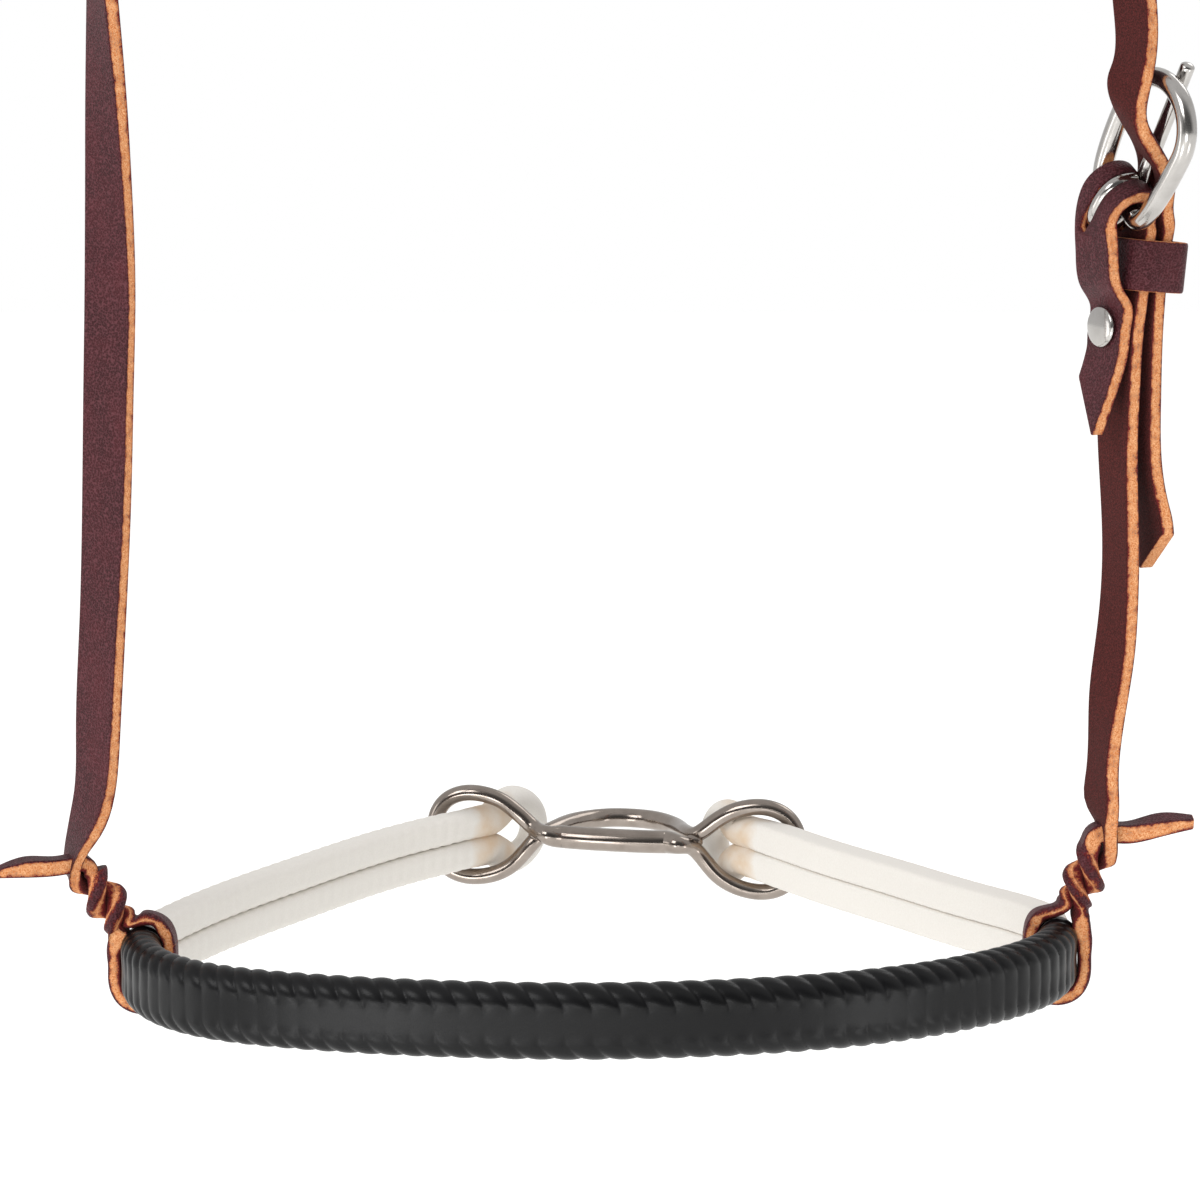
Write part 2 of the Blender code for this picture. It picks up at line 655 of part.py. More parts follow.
def arch_stations(left_foot, right_foot):
    """The crown over the poll, between two feet at the arch's lower level."""
    stations = []
    for foot, side in ((left_foot, -1), (right_foot, 1)):
        rows = []
        reach = abs(foot.x) - CROWN_FLAT / 2
        for degrees in (0, 20, 40, 60, 75, 90):
            turn = math.radians(degrees)
            x = side * (CROWN_FLAT / 2 + reach * math.cos(turn))
            z = STRAP_THICKNESS / 2 + CROWN_RISE * (math.sin(turn) - 1)
            facing = Vector((side * math.cos(turn) * CROWN_RISE, 0, math.sin(turn) * reach)).normalized()
            rows.append((x, foot.y, z, *facing, 0, -1, 0))
        stations += rows if side < 0 else rows[::-1]
    return stations


def add_crown(left, right, buckle, finish):
    turned = buckle.to_3x3()
    through = []
    for i, spot in enumerate(THROUGH_BUCKLE):
        ahead = Vector(THROUGH_BUCKLE[min(i + 1, 4)]) - Vector(THROUGH_BUCKLE[max(i - 1, 0)])
        facing = turned @ Vector((0, ahead.z, -ahead.y)).normalized()
        through.append((*(buckle @ (Vector(spot) * MM)), *facing, *(turned @ Vector((1, 0, 0)))))
    arch = arch_stations(left.place(7.5, 4, 350), right.place(7.5, -4, 350))
    above = left.strap(LEFT_STRAP) + arch + right.strap(CROWN_RIGHT)
    fine_from = len(above) - 2
    above += through + beside_hanger(right, TAIL_GAPS, 1)
    crown = add_strap("crown_strap", left, LEFT_KNOT, above, finish, fine_from)
    hole = buckle @ Matrix.Translation((0, HOLE_UP, TONGUE_RISE))
    size = (TONGUE_WIRE + 2 * TONGUE_CLEARANCE, TONGUE_HOLE, TONGUE_WIRE + 2 * TONGUE_CLEARANCE)
    boolean(crown, cutter_box("tongue_hole", size, hole), "DIFFERENCE")
    return crown


def rivet_matrix(cheek):
    """Rivet's frame at the hanger's middle, its Z out of the hanger's outer face."""
    out, back, up, face = hanger_at(RIVET_LEVEL / MM)
    away, across = cheek.facing(face)
    return axes_matrix(across, away.cross(across), away, cheek.place(out, back, up))


def add_hanger(cheek, buckle, finish):
    above = cheek.strap(HANGER) + fold_stations(buckle) + beside_hanger(cheek, LAP_GAPS, -1)
    hanger = add_strap("hanger_strap", cheek, RIGHT_KNOT, above, finish, len(HANGER) - 2)
    through = 2 * (BUCKLE_WIRE / 2 + FOLD_CLEARANCE + STRAP_THICKNESS + MM)
    size = (TONGUE_WIRE + 2 * SLOT_CLEARANCE, TONGUE_SLOT, through)
    slot = buckle @ Matrix.Translation((0, SLOT_UP, 0))
    boolean(hanger, cutter_box("tongue_slot", size, slot), "DIFFERENCE")
    hole = [(0, -9 * MM), (RIVET_STEM_RADIUS + GAP, -9 * MM), (RIVET_STEM_RADIUS + GAP, 6 * MM), (0, 6 * MM)]
    boolean(hanger, as_helper(revolve("rivet_hole", hole, rivet_matrix(cheek), None)), "DIFFERENCE")
    return hanger


def revolve(name, outline, matrix, finish):
    """A solid of revolution about the matrix's Z, from (radius, height) pairs."""
    segments = 20
    bm = bmesh.new()
    rings = []
    for radius, height in outline:
        count = 1 if radius == 0 else segments
        turns = [math.tau * i / count for i in range(count)]
        spots = [matrix @ Vector((radius * math.cos(turn), radius * math.sin(turn), height)) for turn in turns]
        rings.append([bm.verts.new(spot) for spot in spots])
    for ring, following in zip(rings, rings[1:]):
        for i in range(segments):
            corners = [ring[i % len(ring)], ring[(i - 1) % len(ring)]]
            corners += [following[(i - 1) % len(following)], following[i % len(following)]]
            bm.faces.new(list(dict.fromkeys(corners)))
    return add_mesh(name, bm, finish)


def add_rivet(cheek, finish):
    matrix = rivet_matrix(cheek)
    start = -1.5 * STRAP_THICKNESS - 3 * GAP
    flat = start - 0.4 * MM
    cap = [(0, start), (RIVET_CAP_RADIUS, start), (RIVET_CAP_RADIUS, flat)]
    for share in (0.9, 0.72, 0.45, 0):
        height = flat - (RIVET_CAP_HEIGHT - 0.4 * MM) * math.sqrt(1 - share**2)
        cap.append((RIVET_CAP_RADIUS * share, height))
    revolve("rivet_cap", cap, matrix, finish)
    outer = STRAP_THICKNESS / 2 + GAP
    post = [
        (0, start + GAP),
        (RIVET_STEM_RADIUS, start + GAP),
        (RIVET_STEM_RADIUS, outer),
        (RIVET_HEAD_RADIUS, outer),
        (RIVET_HEAD_RADIUS - 0.4 * MM, outer + 0.5 * MM),
        (0, outer + 0.7 * MM),
    ]
    revolve("rivet_post", post, matrix, finish)


def add_keeper(cheek, finish):
    level = KEEPER_LEVEL / MM
    last = cheek.place(*hanger_at(level)[:3])
    along = (last - cheek.place(*hanger_at(level - 5)[:3])).normalized()
    out, across = cheek.facing(hanger_at(level)[3])
    across = along.cross(out).normalized()
    out = across.cross(along).normalized()
    inner_face = -STRAP_THICKNESS / 2 - KEEPER_CLEARANCE
    outer_face = 1.5 * STRAP_THICKNESS + KEEPER_SLACK + KEEPER_CLEARANCE
    half = STRAP_WIDTH / 2 + KEEPER_CLEARANCE
    bm = bmesh.new()
    rings = []
    for end in (-0.5, 0.5):
        for grow, rounding in ((KEEPER_WALL, 2.6 * MM), (0, 0.6 * MM)):
            ring = []
            for side_x, side_y, start in ((1, 1, 0), (-1, 1, 90), (-1, -1, 180), (1, -1, 270)):
                x = side_x * (half + grow - rounding)
                y = outer_face + grow - rounding if side_y > 0 else inner_face - grow + rounding
                for degrees in (0, 30, 60, 90):
                    turn = math.radians(start + degrees)
                    spot = across * (x + rounding * math.cos(turn)) + out * (y + rounding * math.sin(turn))
                    ring.append(bm.verts.new(last + spot + along * end * KEEPER_HEIGHT))
            rings.append(ring)
    low_outer, low_inner, high_outer, high_inner = rings
    walls = ((low_outer, high_outer), (high_outer, high_inner), (high_inner, low_inner), (low_inner, low_outer))
    for one, two in walls:
        for i in range(len(one)):
            bm.faces.new((one[i], one[i - 1], two[i - 1], two[i]))
    return add_mesh("keeper", bm, finish)


def add_buckle(buckle, finish):
    half = []
    for degrees in (0, 12, 25, 40, 55, 70, 90):
        turn = math.radians(degrees)
        x = BAR_HALF + (BUCKLE_HALF_WIDTH - BAR_HALF) * math.sin(turn)
        half.append((x, BUCKLE_WIDEST * (1 - math.cos(turn))))
    for degrees in (12, 25, 40, 55, 70, 80):
        turn = math.radians(degrees)
        y = BUCKLE_WIDEST + (BUCKLE_LENGTH - BUCKLE_WIDEST) * math.sin(turn)
        half.append((BUCKLE_HALF_WIDTH * math.cos(turn), y))
    line = half + [(0, BUCKLE_LENGTH)] + [(-x, y) for x, y in half[::-1]]
    places = [buckle @ Vector((x, y, 0)) for x, y in line]
    tube("buckle_frame", places, BUCKLE_WIRE / 2, finish, closed=True)
    ring = TONGUE_RISE
    line = []
    for degrees in range(350, 89, -20):
        turn = math.radians(degrees)
        line.append((0, ring * math.cos(turn), ring * math.sin(turn)))
    line += [(0, 0, ring), (0, 10 * MM, ring), (0, BUCKLE_LENGTH + BUCKLE_WIRE / 2 + TONGUE_PAST_FRAME, ring)]
    tube("buckle_tongue", [buckle @ Vector(spot) for spot in line], TONGUE_WIRE / 2, finish, sides=2)


def main():
    for obj in list(bpy.data.objects):
        bpy.data.objects.remove(obj)
    rope = material("white rope", (0.84, 0.80, 0.74), 0.8)
    cover = material("black rubber cover", (0.012, 0.012, 0.013), 0.35)
    leather = material("burgundy latigo", (0.085, 0.030, 0.026), 0.5)
    nickel = material("nickel plate", (0.72, 0.70, 0.67), 0.2, 1.0)

    plan = rope_plan()
    add_rope(plan, rope)
    add_cover(plan, cover)
    add_fitting(nickel)
    left, right = Cheek(LEFT_LOOP, -1, plan), Cheek(RIGHT_LOOP, 1, plan)
    buckle = buckle_matrix(right)
    add_crown(left, right, buckle, leather)
    add_hanger(right, buckle, leather)
    add_keeper(right, leather)
    add_rivet(right, nickel)
    add_buckle(buckle, nickel)


main()
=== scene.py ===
import bpy
import numpy as np
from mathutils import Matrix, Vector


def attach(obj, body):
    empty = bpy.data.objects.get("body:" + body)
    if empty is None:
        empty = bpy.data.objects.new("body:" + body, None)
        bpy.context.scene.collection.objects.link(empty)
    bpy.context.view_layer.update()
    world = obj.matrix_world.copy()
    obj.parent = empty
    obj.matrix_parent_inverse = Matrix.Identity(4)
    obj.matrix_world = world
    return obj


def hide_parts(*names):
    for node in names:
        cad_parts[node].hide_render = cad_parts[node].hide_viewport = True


# Rope noseband on a leather headstall: ridged black rubber over one white rope laid double, bleed
# knots of latigo, a nickel plated chin fitting, and a buckle with its keeper and rivet. Lengths in
# the dictionaries are in millimetres, x to the right, y to the back; the meshes are in metres.
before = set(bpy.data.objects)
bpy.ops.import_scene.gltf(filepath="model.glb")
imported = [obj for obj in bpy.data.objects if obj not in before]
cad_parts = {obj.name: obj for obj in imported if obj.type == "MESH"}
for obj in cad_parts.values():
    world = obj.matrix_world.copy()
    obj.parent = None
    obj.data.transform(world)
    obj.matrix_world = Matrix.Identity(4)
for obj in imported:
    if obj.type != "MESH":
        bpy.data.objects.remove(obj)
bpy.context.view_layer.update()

mm = 0.001
up = np.array([0.0, 0.0, 1.0])

print("stage 1: helpers")


def hexToLinear(code):
    # sRGB hex to linear: (c / 12.92) below 0.04045, else ((c + 0.055) / 1.055) ** 2.4
    c = np.array([int(code[i:i + 2], 16) for i in (1, 3, 5)]) / 255
    return (*np.where(c <= 0.04045, c / 12.92, ((c + 0.055) / 1.055) ** 2.4), 1.0)


def setInputs(node, **inputs):
    # sockets by name, or by number as n0: a node links by its first output in use, a tuple
    # (node, output) by that output, a text is a hex colour, and anything else is set on the socket
    for key, value in inputs.items():
        socket = node.inputs[int(key[1:]) if key[1:].isdigit() else key.replace("_", " ")]
        if isinstance(value, bpy.types.Node):
            node.id_data.links.new([output for output in value.outputs if output.enabled][0], socket)
        elif isinstance(value, tuple) and isinstance(value[0], bpy.types.Node):
            node.id_data.links.new(value[0].outputs[value[1]], socket)
        else:
            socket.default_value = hexToLinear(value) if isinstance(value, str) else value


def nodeAdder(tree):
    # the function that adds one shader node to a tree
    def add(kind, settings=None, **inputs):
        node = tree.nodes.new("ShaderNode" + kind)
        for key, value in (settings or {}).items():
            setattr(node, key, value)
        setInputs(node, **inputs)
        return node
    return add


def unit(v):
    # each vector divided by its length
    return v / np.linalg.norm(v, axis=-1, keepdims=True)


def runOf(points):
    # distance along a line of points
    return np.concatenate([[0], np.cumsum(np.linalg.norm(np.diff(points, axis=0), axis=1))])


def splineRead(knots, values, at):
    # natural cubic spline: the bends b solve g0 b0 + 2 (g0 + g1) b1 + g1 b2 = 6 (slope1 - slope0)
    gaps = np.diff(knots)
    slopes = np.diff(values, axis=0) / gaps[:, None]
    inner = np.arange(1, len(knots) - 1)
    system = np.eye(len(knots))
    system[inner, inner - 1], system[inner, inner + 1] = gaps[:-1], gaps[1:]
    system[inner, inner] = 2 * (gaps[:-1] + gaps[1:])
    right = np.zeros_like(values)
    right[inner] = 6 * np.diff(slopes, axis=0)
    bends = np.linalg.solve(system, right)
    i = np.clip(np.searchsorted(knots, at) - 1, 0, len(knots) - 2)
    after = ((at - knots[i]) / gaps[i])[:, None]
    before = 1 - after
    curved = (before**3 - before) * bends[i] + (after**3 - after) * bends[i + 1]
    return before * values[i] + after * values[i + 1] + curved * (gaps[i] ** 2)[:, None] / 6


def smoothLine(stations, steps):
    # the smooth line through the stations, read every step as far as each numbered station
    finePerStation = 30
    stations = np.array(stations, float)
    knots = runOf(stations[:, :3])
    fine = splineRead(knots, stations, np.linspace(0, knots[-1], finePerStation * len(stations)))
    run = runOf(fine[:, :3])
    wanted = [np.zeros(1)]
    for number, step in steps:
        start, end = wanted[-1][-1], run[-1] * knots[number] / knots[-1]
        wanted.append(np.linspace(start, end, max(2, round((end - start) / step) + 1))[1:])
    wanted = np.concatenate(wanted)
    return np.stack([np.interp(wanted, run, column) for column in fine.T], axis=1)


def circle(count):
    # that many turns evenly round a circle
    return np.linspace(0, 2 * np.pi, count, endpoint=False)


def ramp(x, low, high):
    # smoothstep: 3 t^2 - 2 t^3 of the share t between low and high
    t = np.clip((x - low) / (high - low), 0, 1)
    return t * t * (3 - 2 * t)


def newObject(name, data):
    # an object in the scene
    obj = bpy.data.objects.new(name, data)
    bpy.context.scene.collection.objects.link(obj)
    return obj


def putMesh(name, grid, material, marks=None, loopRows=False, loopColumns=True):
    # a grid of points (rows, columns, 3) as quads; open rows get flat caps, and the faces are
    # turned outwards where the signed volume, the sum of a . (b x c), is below 0
    rows, columns = grid.shape[:2]
    ids = np.arange(rows * columns).reshape(rows, columns)
    if loopColumns:
        ids = np.concatenate([ids, ids[:, :1]], axis=1)
    if loopRows:
        ids = np.concatenate([ids, ids[:1]], axis=0)
    quads = np.stack([ids[:-1, :-1], ids[:-1, 1:], ids[1:, 1:], ids[1:, :-1]], axis=-1).reshape(-1, 4)
    points = grid.reshape(-1, 3)
    faces = quads.tolist()
    if not loopRows:
        faces += [list(range(columns))[::-1], list(range((rows - 1) * columns, rows * columns))]
    mesh = bpy.data.meshes.new(name)
    mesh.from_pydata(points.tolist(), [], faces)
    corners = points[quads]
    volume = np.einsum("ij,ij->", corners[:, 0], np.cross(corners[:, 1], corners[:, 2]))
    volume += np.einsum("ij,ij->", corners[:, 0], np.cross(corners[:, 2], corners[:, 3]))
    if volume < 0:
        mesh.flip_normals()
    mesh.shade_smooth()
    for mark, values in (marks or {}).items():
        made = mesh.attributes.new(mark, "FLOAT", "POINT")
        made.data.foreach_set("value", np.broadcast_to(values, grid.shape[:2]).astype(np.float32).ravel())
    mesh.materials.append(material)
    return newObject(name, mesh)


def carriedFrames(path, closed):
    # normals carried along the path: n1 = unit(n0 - t (n0 . t)); a closed path shares out the turn left
    tangents = unit(np.roll(path, -1, 0) - np.roll(path, 1, 0)) if closed else unit(np.gradient(path, axis=0))
    start = np.cross(tangents[0], up if abs(tangents[0][2]) < 0.9 else [1.0, 0, 0])
    normals = [unit(start)]
    for tangent in tangents[1:]:
        normals.append(unit(normals[-1] - tangent * (normals[-1] @ tangent)))
    normals = np.array(normals)
    binormals = np.cross(tangents, normals)
    if closed:
        last = normals[-1] - tangents[0] * (normals[-1] @ tangents[0])
        left = np.arctan2(last @ binormals[0], last @ normals[0])
        turn = (-left * np.arange(len(path)) / len(path))[:, None]
        normals = normals * np.cos(turn) + binormals * np.sin(turn)
        binormals = np.cross(tangents, normals)
    return normals, binormals


def roundTube(name, path, radius, material, closed=False, around=24, swell=None):
    # circle of radius times swell carried along the path; open ends are domed by sin and cos
    normals, binormals = carriedFrames(path, closed)
    turn = circle(around)
    ring = np.cos(turn)[None, :, None] * normals[:, None] + np.sin(turn)[None, :, None] * binormals[:, None]
    swell = np.ones(len(path)) if swell is None else swell
    grid = path[:, None] + radius * swell[:, None, None] * ring
    if not closed:
        dome, flatter = np.radians([20, 45, 70, 85]), 0.55
        ends = []
        for i, neighbour in ((0, 1), (-1, -2)):
            tangent = unit(path[i] - path[neighbour])
            ends.append(path[i] + radius * (np.cos(dome)[:, None, None] * ring[i][None]
                                            + flatter * np.sin(dome)[:, None, None] * tangent))
        grid = np.concatenate([ends[0][::-1], grid, ends[1]])
    return putMesh(name, grid, material, loopRows=closed)


def bulged(v, power):
    # the sign of v times |v| ^ power
    return np.sign(v) * np.abs(v) ** power


def placedMesh(obj, body, slot, *nodes):
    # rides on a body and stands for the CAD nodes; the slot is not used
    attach(obj, body)
    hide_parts(*nodes)
    return obj


def readPoints(mesh):
    # places and side marks of the vertices, as arrays
    points = np.empty(len(mesh.vertices) * 3, np.float32)
    mesh.vertices.foreach_get("co", points)
    marks = np.empty(len(mesh.vertices), np.float32)
    mesh.attributes["side"].data.foreach_get("value", marks)
    return points.reshape(-1, 3), marks


def cutBy(obj, cutter):
    # Boolean difference, applied, and the cutter removed; round the cut each point takes the side
    # mark of the nearest point there was before, looked for within 8 mm of the cutter
    rim, reach = 0.1 * mm, 8 * mm
    before, side = readPoints(obj.data)
    tool = readPoints(cutter.data)[0]
    modifier = obj.modifiers.new("cut", "BOOLEAN")
    modifier.operation, modifier.object, modifier.solver = "DIFFERENCE", cutter, "EXACT"
    split = obj.modifiers.new("split", "TRIANGULATE")
    split.min_vertices, split.ngon_method = 5, "BEAUTY"
    graph = bpy.context.evaluated_depsgraph_get()
    cut = bpy.data.meshes.new_from_object(obj.evaluated_get(graph))
    obj.modifiers.clear()
    obj.data = cut
    bpy.data.objects.remove(cutter)
    after, marks = readPoints(cut)
    low, high = tool.min(0) - rim, tool.max(0) + rim
    around = np.all((after > low) & (after < high), axis=1)
    old = np.all((before > low - reach) & (before < high + reach), axis=1)
    gap = np.linalg.norm(after[around][:, None] - before[old], axis=2)
    marks[around] = side[old][np.argmin(gap, axis=1)]
    cut.attributes["side"].data.foreach_set("value", marks)


print("stage 2: finishes")


def startMaterial(name, metallic=0.0):
    # a material, its shader, the function that adds nodes to it, and the object's own coordinates
    made = bpy.data.materials.new(name)
    made.use_nodes = True
    shader = made.node_tree.nodes["Principled BSDF"]
    setInputs(shader, Metallic=metallic)
    add = nodeAdder(made.node_tree)
    return made, shader, add, (add("TexCoord"), "Object")


inColour = {"data_type": "RGBA"}
# sizes here and below are in mm, 1000 / 90 as one patch in 11 mm; the leather's pores and fibres are
# drawn at 0.5 and 0.36 mm, about twice as coarse as real ones, so that they show; roughness is the
# raw edge's and the grain's, and in the other finishes its least and greatest
latigo = {"grain": "#360f14", "grainWorn": "#4c171d", "poreSheen": "#6f3d44", "flesh": "#35120f",
          "fleshFibre": "#5f2523", "rawEdge": "#ffc490", "rawDark": "#d07c46", "bleed": "#701d20",
          "roughness": (0.85, 0.5), "specular": 0.22, "patchSize": 1000 / 90, "grainSize": 0.5,
          "fibreSize": 0.36, "raggedSize": 2.0, "ragged": 0.85, "relief": 0.25}


def makeLatigo():
    # latigo: oil-tanned cowhide dyed through its faces; satin grain side with a painted sheen on the
    # crests round the pores, napped flesh side, raw tan edges
    made, shader, add, where = startMaterial("burgundy latigo leather")
    side = (add("Attribute", {"attribute_name": "side"}), "Fac")
    fine = add("TexNoise", Vector=where, Scale=1 / (latigo["fibreSize"] * mm), Detail=4.0)
    broad = add("TexNoise", Vector=where, Scale=1 / (latigo["patchSize"] * mm), Detail=5.0, Roughness=0.6)
    pores = add("TexVoronoi", Vector=where, Scale=1 / (latigo["grainSize"] * mm))
    worn = add("MapRange", Value=broad, From_Min=0.42, From_Max=0.72)
    grain = add("Mix", inColour, Factor=worn, n6=latigo["grain"], n7=latigo["grainWorn"])
    # painted sheen: the crests round the pores are lightened to show as glints
    poreSheen = add("MapRange", Value=pores, From_Min=0.36, From_Max=0.85, To_Max=0.62)
    grain = add("Mix", inColour, Factor=poreSheen, n6=grain, n7=latigo["poreSheen"])
    nap = add("MapRange", Value=fine, From_Min=0.38, From_Max=0.68)
    flesh = add("Mix", inColour, Factor=nap, n6=latigo["flesh"], n7=latigo["fleshFibre"])
    raw = add("Mix", inColour, Factor=nap, n6=latigo["rawDark"], n7=latigo["rawEdge"])
    # the dye stops a little way round the corner, raggedly, and bleeds red into the raw edge:
    # grain where side + uneven > 0.5, flesh where side - uneven < -0.5, uneven = ragged (noises - 1)
    rags = add("TexNoise", Vector=where, Scale=1 / (latigo["raggedSize"] * mm), Detail=3.0)
    uneven = add("Math", {"operation": "ADD"}, n0=fine, n1=rags)
    uneven = add("Math", {"operation": "MULTIPLY_ADD"}, n0=uneven, n1=latigo["ragged"], n2=-latigo["ragged"])
    above = add("Math", {"operation": "ADD"}, n0=side, n1=uneven)
    below = add("Math", {"operation": "SUBTRACT"}, n0=side, n1=uneven)
    toGrain = add("MapRange", Value=above, From_Min=0.4, From_Max=0.6)
    toFlesh = add("MapRange", Value=below, From_Min=-0.4, From_Max=-0.6)
    bleedUp = add("MapRange", Value=above, From_Min=0.14, From_Max=0.42)
    bleedDown = add("MapRange", Value=below, From_Min=-0.06, From_Max=-0.36)
    bleed = add("Math", {"operation": "MAXIMUM"}, n0=bleedUp, n1=bleedDown)
    bled = add("Mix", inColour, Factor=bleed, n6=raw, n7=latigo["bleed"])
    withGrain = add("Mix", inColour, Factor=toGrain, n6=bled, n7=grain)
    colour = add("Mix", inColour, Factor=toFlesh, n6=withGrain, n7=flesh)
    rough = add("MapRange", Value=toGrain, To_Min=latigo["roughness"][0], To_Max=latigo["roughness"][1])
    poreDepth = add("Math", {"operation": "MULTIPLY"}, n0=pores, n1=toGrain)
    height = add("Math", {"operation": "ADD"}, n0=poreDepth, n1=fine)
    bump = add("Bump", Height=height, Strength=0.7, Distance=latigo["relief"] * mm)
    setInputs(shader, Base_Color=colour, Roughness=rough, Normal=bump, Specular_IOR_Level=latigo["specular"])
    return made


# the grit is drawn at 0.35 mm, coarser than the rubber's own matt surface, so that it shows
rubber = {"colour": "#060607", "dusty": "#101012", "roughness": (0.26, 0.42), "specular": 0.24,
          "gritSize": 0.35, "relief": 0.05, "patchSize": 1000 / 45}


def makeRubber():
    # shrink-on rubber sleeve: soft satin black, fine matt texture, faint dust in broad patches
    made, shader, add, where = startMaterial("black rubber sleeve")
    fine = add("TexNoise", Vector=where, Scale=1 / (rubber["gritSize"] * mm), Detail=2.0)
    broad = add("TexNoise", Vector=where, Scale=1 / (rubber["patchSize"] * mm), Detail=3.0)
    colour = add("Mix", inColour, Factor=broad, n6=rubber["colour"], n7=rubber["dusty"])
    rough = add("MapRange", Value=broad, To_Min=rubber["roughness"][0], To_Max=rubber["roughness"][1])
    bump = add("Bump", Height=fine, Strength=0.35, Distance=rubber["relief"] * mm)
    setInputs(shader, Base_Color=colour, Roughness=rough, Normal=bump, Specular_IOR_Level=rubber["specular"])
    return made


# fibres are 0.45 mm across, coarser than the real filaments, which are too fine to show
# the groove colour is painted shade, a little darker than the white, where the left strands meet
ropeFinish = {"white": "#efebe5", "shade": "#e3ded6", "stain": "#d9bd9c", "crease": "#e6e2dc",
              "speck": "#9a6a48", "roughness": 0.62, "fibreSize": 1000 / 2200, "patchSize": 6.25,
              "speckApart": 1000 / 38, "relief": 0.08}


def makeRopeWhite():
    # laid and waxed polyester: off-white, soft sheen, stained where the metal rubs, a few brown specks,
    # painted shade in dashes where the left strands meet
    made, shader, add, where = startMaterial("waxed white rope")
    stain = (add("Attribute", {"attribute_name": "stain"}), "Fac")
    crease = (add("Attribute", {"attribute_name": "crease"}), "Fac")
    fine = add("TexNoise", Vector=where, Scale=1 / (ropeFinish["fibreSize"] * mm), Detail=3.0)
    broad = add("TexNoise", Vector=where, Scale=1 / (ropeFinish["patchSize"] * mm), Detail=4.0)
    base = add("Mix", inColour, Factor=fine, n6=ropeFinish["white"], n7=ropeFinish["shade"])
    rubbed = add("Math", {"operation": "MULTIPLY"}, n0=stain, n1=broad)
    rubbed = add("MapRange", Value=rubbed, From_Min=0.2, From_Max=0.75)
    stained = add("Mix", inColour, Factor=rubbed, n6=base, n7=ropeFinish["stain"])
    # painted shade: the groove between the left strands is darkened in short dashes
    dark = add("Mix", inColour, Factor=crease, n6=stained, n7=ropeFinish["crease"])
    dots = add("TexVoronoi", Vector=where, Scale=1 / (ropeFinish["speckApart"] * mm))
    speck = add("MapRange", Value=dots, From_Min=0.022, From_Max=0.012)
    colour = add("Mix", inColour, Factor=speck, n6=dark, n7=ropeFinish["speck"])
    bump = add("Bump", Height=fine, Strength=0.25, Distance=ropeFinish["relief"] * mm)
    setInputs(shader, Base_Color=colour, Roughness=ropeFinish["roughness"], Normal=bump)
    return made


# worn tones: worn plate, and painted shade darker than the bright ones for the chin fitting's dark
# reflections
nickel = {"worn": ("#a69c94", "#81776f"), "bright": ("#c9c6c3", "#a5a19d"), "roughness": (0.08, 0.24),
          "patchSize": 1000 / 260, "relief": 0.15}


def makeNickel(name, tones):
    # nickel plate over drawn wire: warm grey mirror with faint drawing marks and rubbed patches
    made, shader, add, where = startMaterial(name, 1.0)
    broad = add("TexNoise", Vector=where, Scale=1 / (nickel["patchSize"] * mm), Detail=4.0)
    colour = add("Mix", inColour, Factor=broad, n6=tones[0], n7=tones[1])
    rough = add("MapRange", Value=broad, To_Min=nickel["roughness"][0], To_Max=nickel["roughness"][1])
    bump = add("Bump", Height=broad, Strength=0.12, Distance=nickel["relief"] * mm)
    setInputs(shader, Base_Color=colour, Roughness=rough, Normal=bump)
    return made


latigoLeather, blackRubber, whiteRope = makeLatigo(), makeRubber(), makeRopeWhite()
# the chin fitting's nickel is worn and also painted darker as shade
wornShadedNickel = makeNickel("worn nickel plated wire", nickel["worn"])
nickelPlate = makeNickel("nickel plated wire", nickel["bright"])

print("stage 3: plan of the noseband")
noseband = {"width": 222.6, "depth": 179.5, "front": -57, "level": -470, "rope": 7.9, "rise": 4.1,
            "leftBight": {"inEye": 40, "flare": 5, "widest": 14, "reach": 23, "swell": 8.2, "turn": 45},
            "rightBight": {"inEye": 39.5, "flare": 6.5, "widest": 11.5, "reach": 17.5, "swell": 7.4,
                           "turn": 40},
            "leftLoop": (-0.9955, 0.295), "rightLoop": (1.0045, 0.340)}
# the noseband's middle line from left to right: shares of half the width and of the depth
planShares = np.array([
    (-0.494, 0.914), (-0.710, 0.705), (-0.828, 0.579), (-0.936, 0.440), (-0.9955, 0.295), (-0.960, 0.194),
    (-0.860, 0.114), (-0.629, 0.048), (-0.323, 0.011), (0.0, 0.0), (0.314, 0.022), (0.622, 0.082),
    (0.852, 0.176), (0.955, 0.250), (1.0045, 0.340), (0.975, 0.434), (0.866, 0.528), (0.702, 0.672),
    (0.533, 0.822)])


def onPlan(share):
    # shares of half the width to the right and of the depth to the back, as a place in mm
    share = np.asarray(share, float)
    flat = share * (noseband["width"] / 2, noseband["depth"]) + (0, noseband["front"])
    return np.append(flat, noseband["level"])


chin = {"wire": 4.5, "length": 107, "ring": 17.8, "ringFront": 3, "ringBack": 25.5, "ringSwell": 1.2,
        "ringLift": 2.6, "ringSag": 1.4, "frontSwell": 1.42, "neck": 22, "eyeRise": 12, "yaw": 10,
        "roll": 0.7, "offset": 4.2, "lift": 0.2, "weld": (2.6, 1.9, 2.1)}
yaw = np.radians(chin["yaw"])
chinRoll = np.radians(chin["roll"])
chinLevel = np.array([np.cos(yaw), -np.sin(yaw), 0])
chinAlong = chinLevel * np.cos(chinRoll) - up * np.sin(chinRoll)
chinUp = chinLevel * np.sin(chinRoll) + up * np.cos(chinRoll)
chinBack = np.array([np.sin(yaw), np.cos(yaw), 0])
chinCentre = np.array([chin["offset"], noseband["front"] + noseband["depth"],
                       noseband["level"] + chin["lift"]])


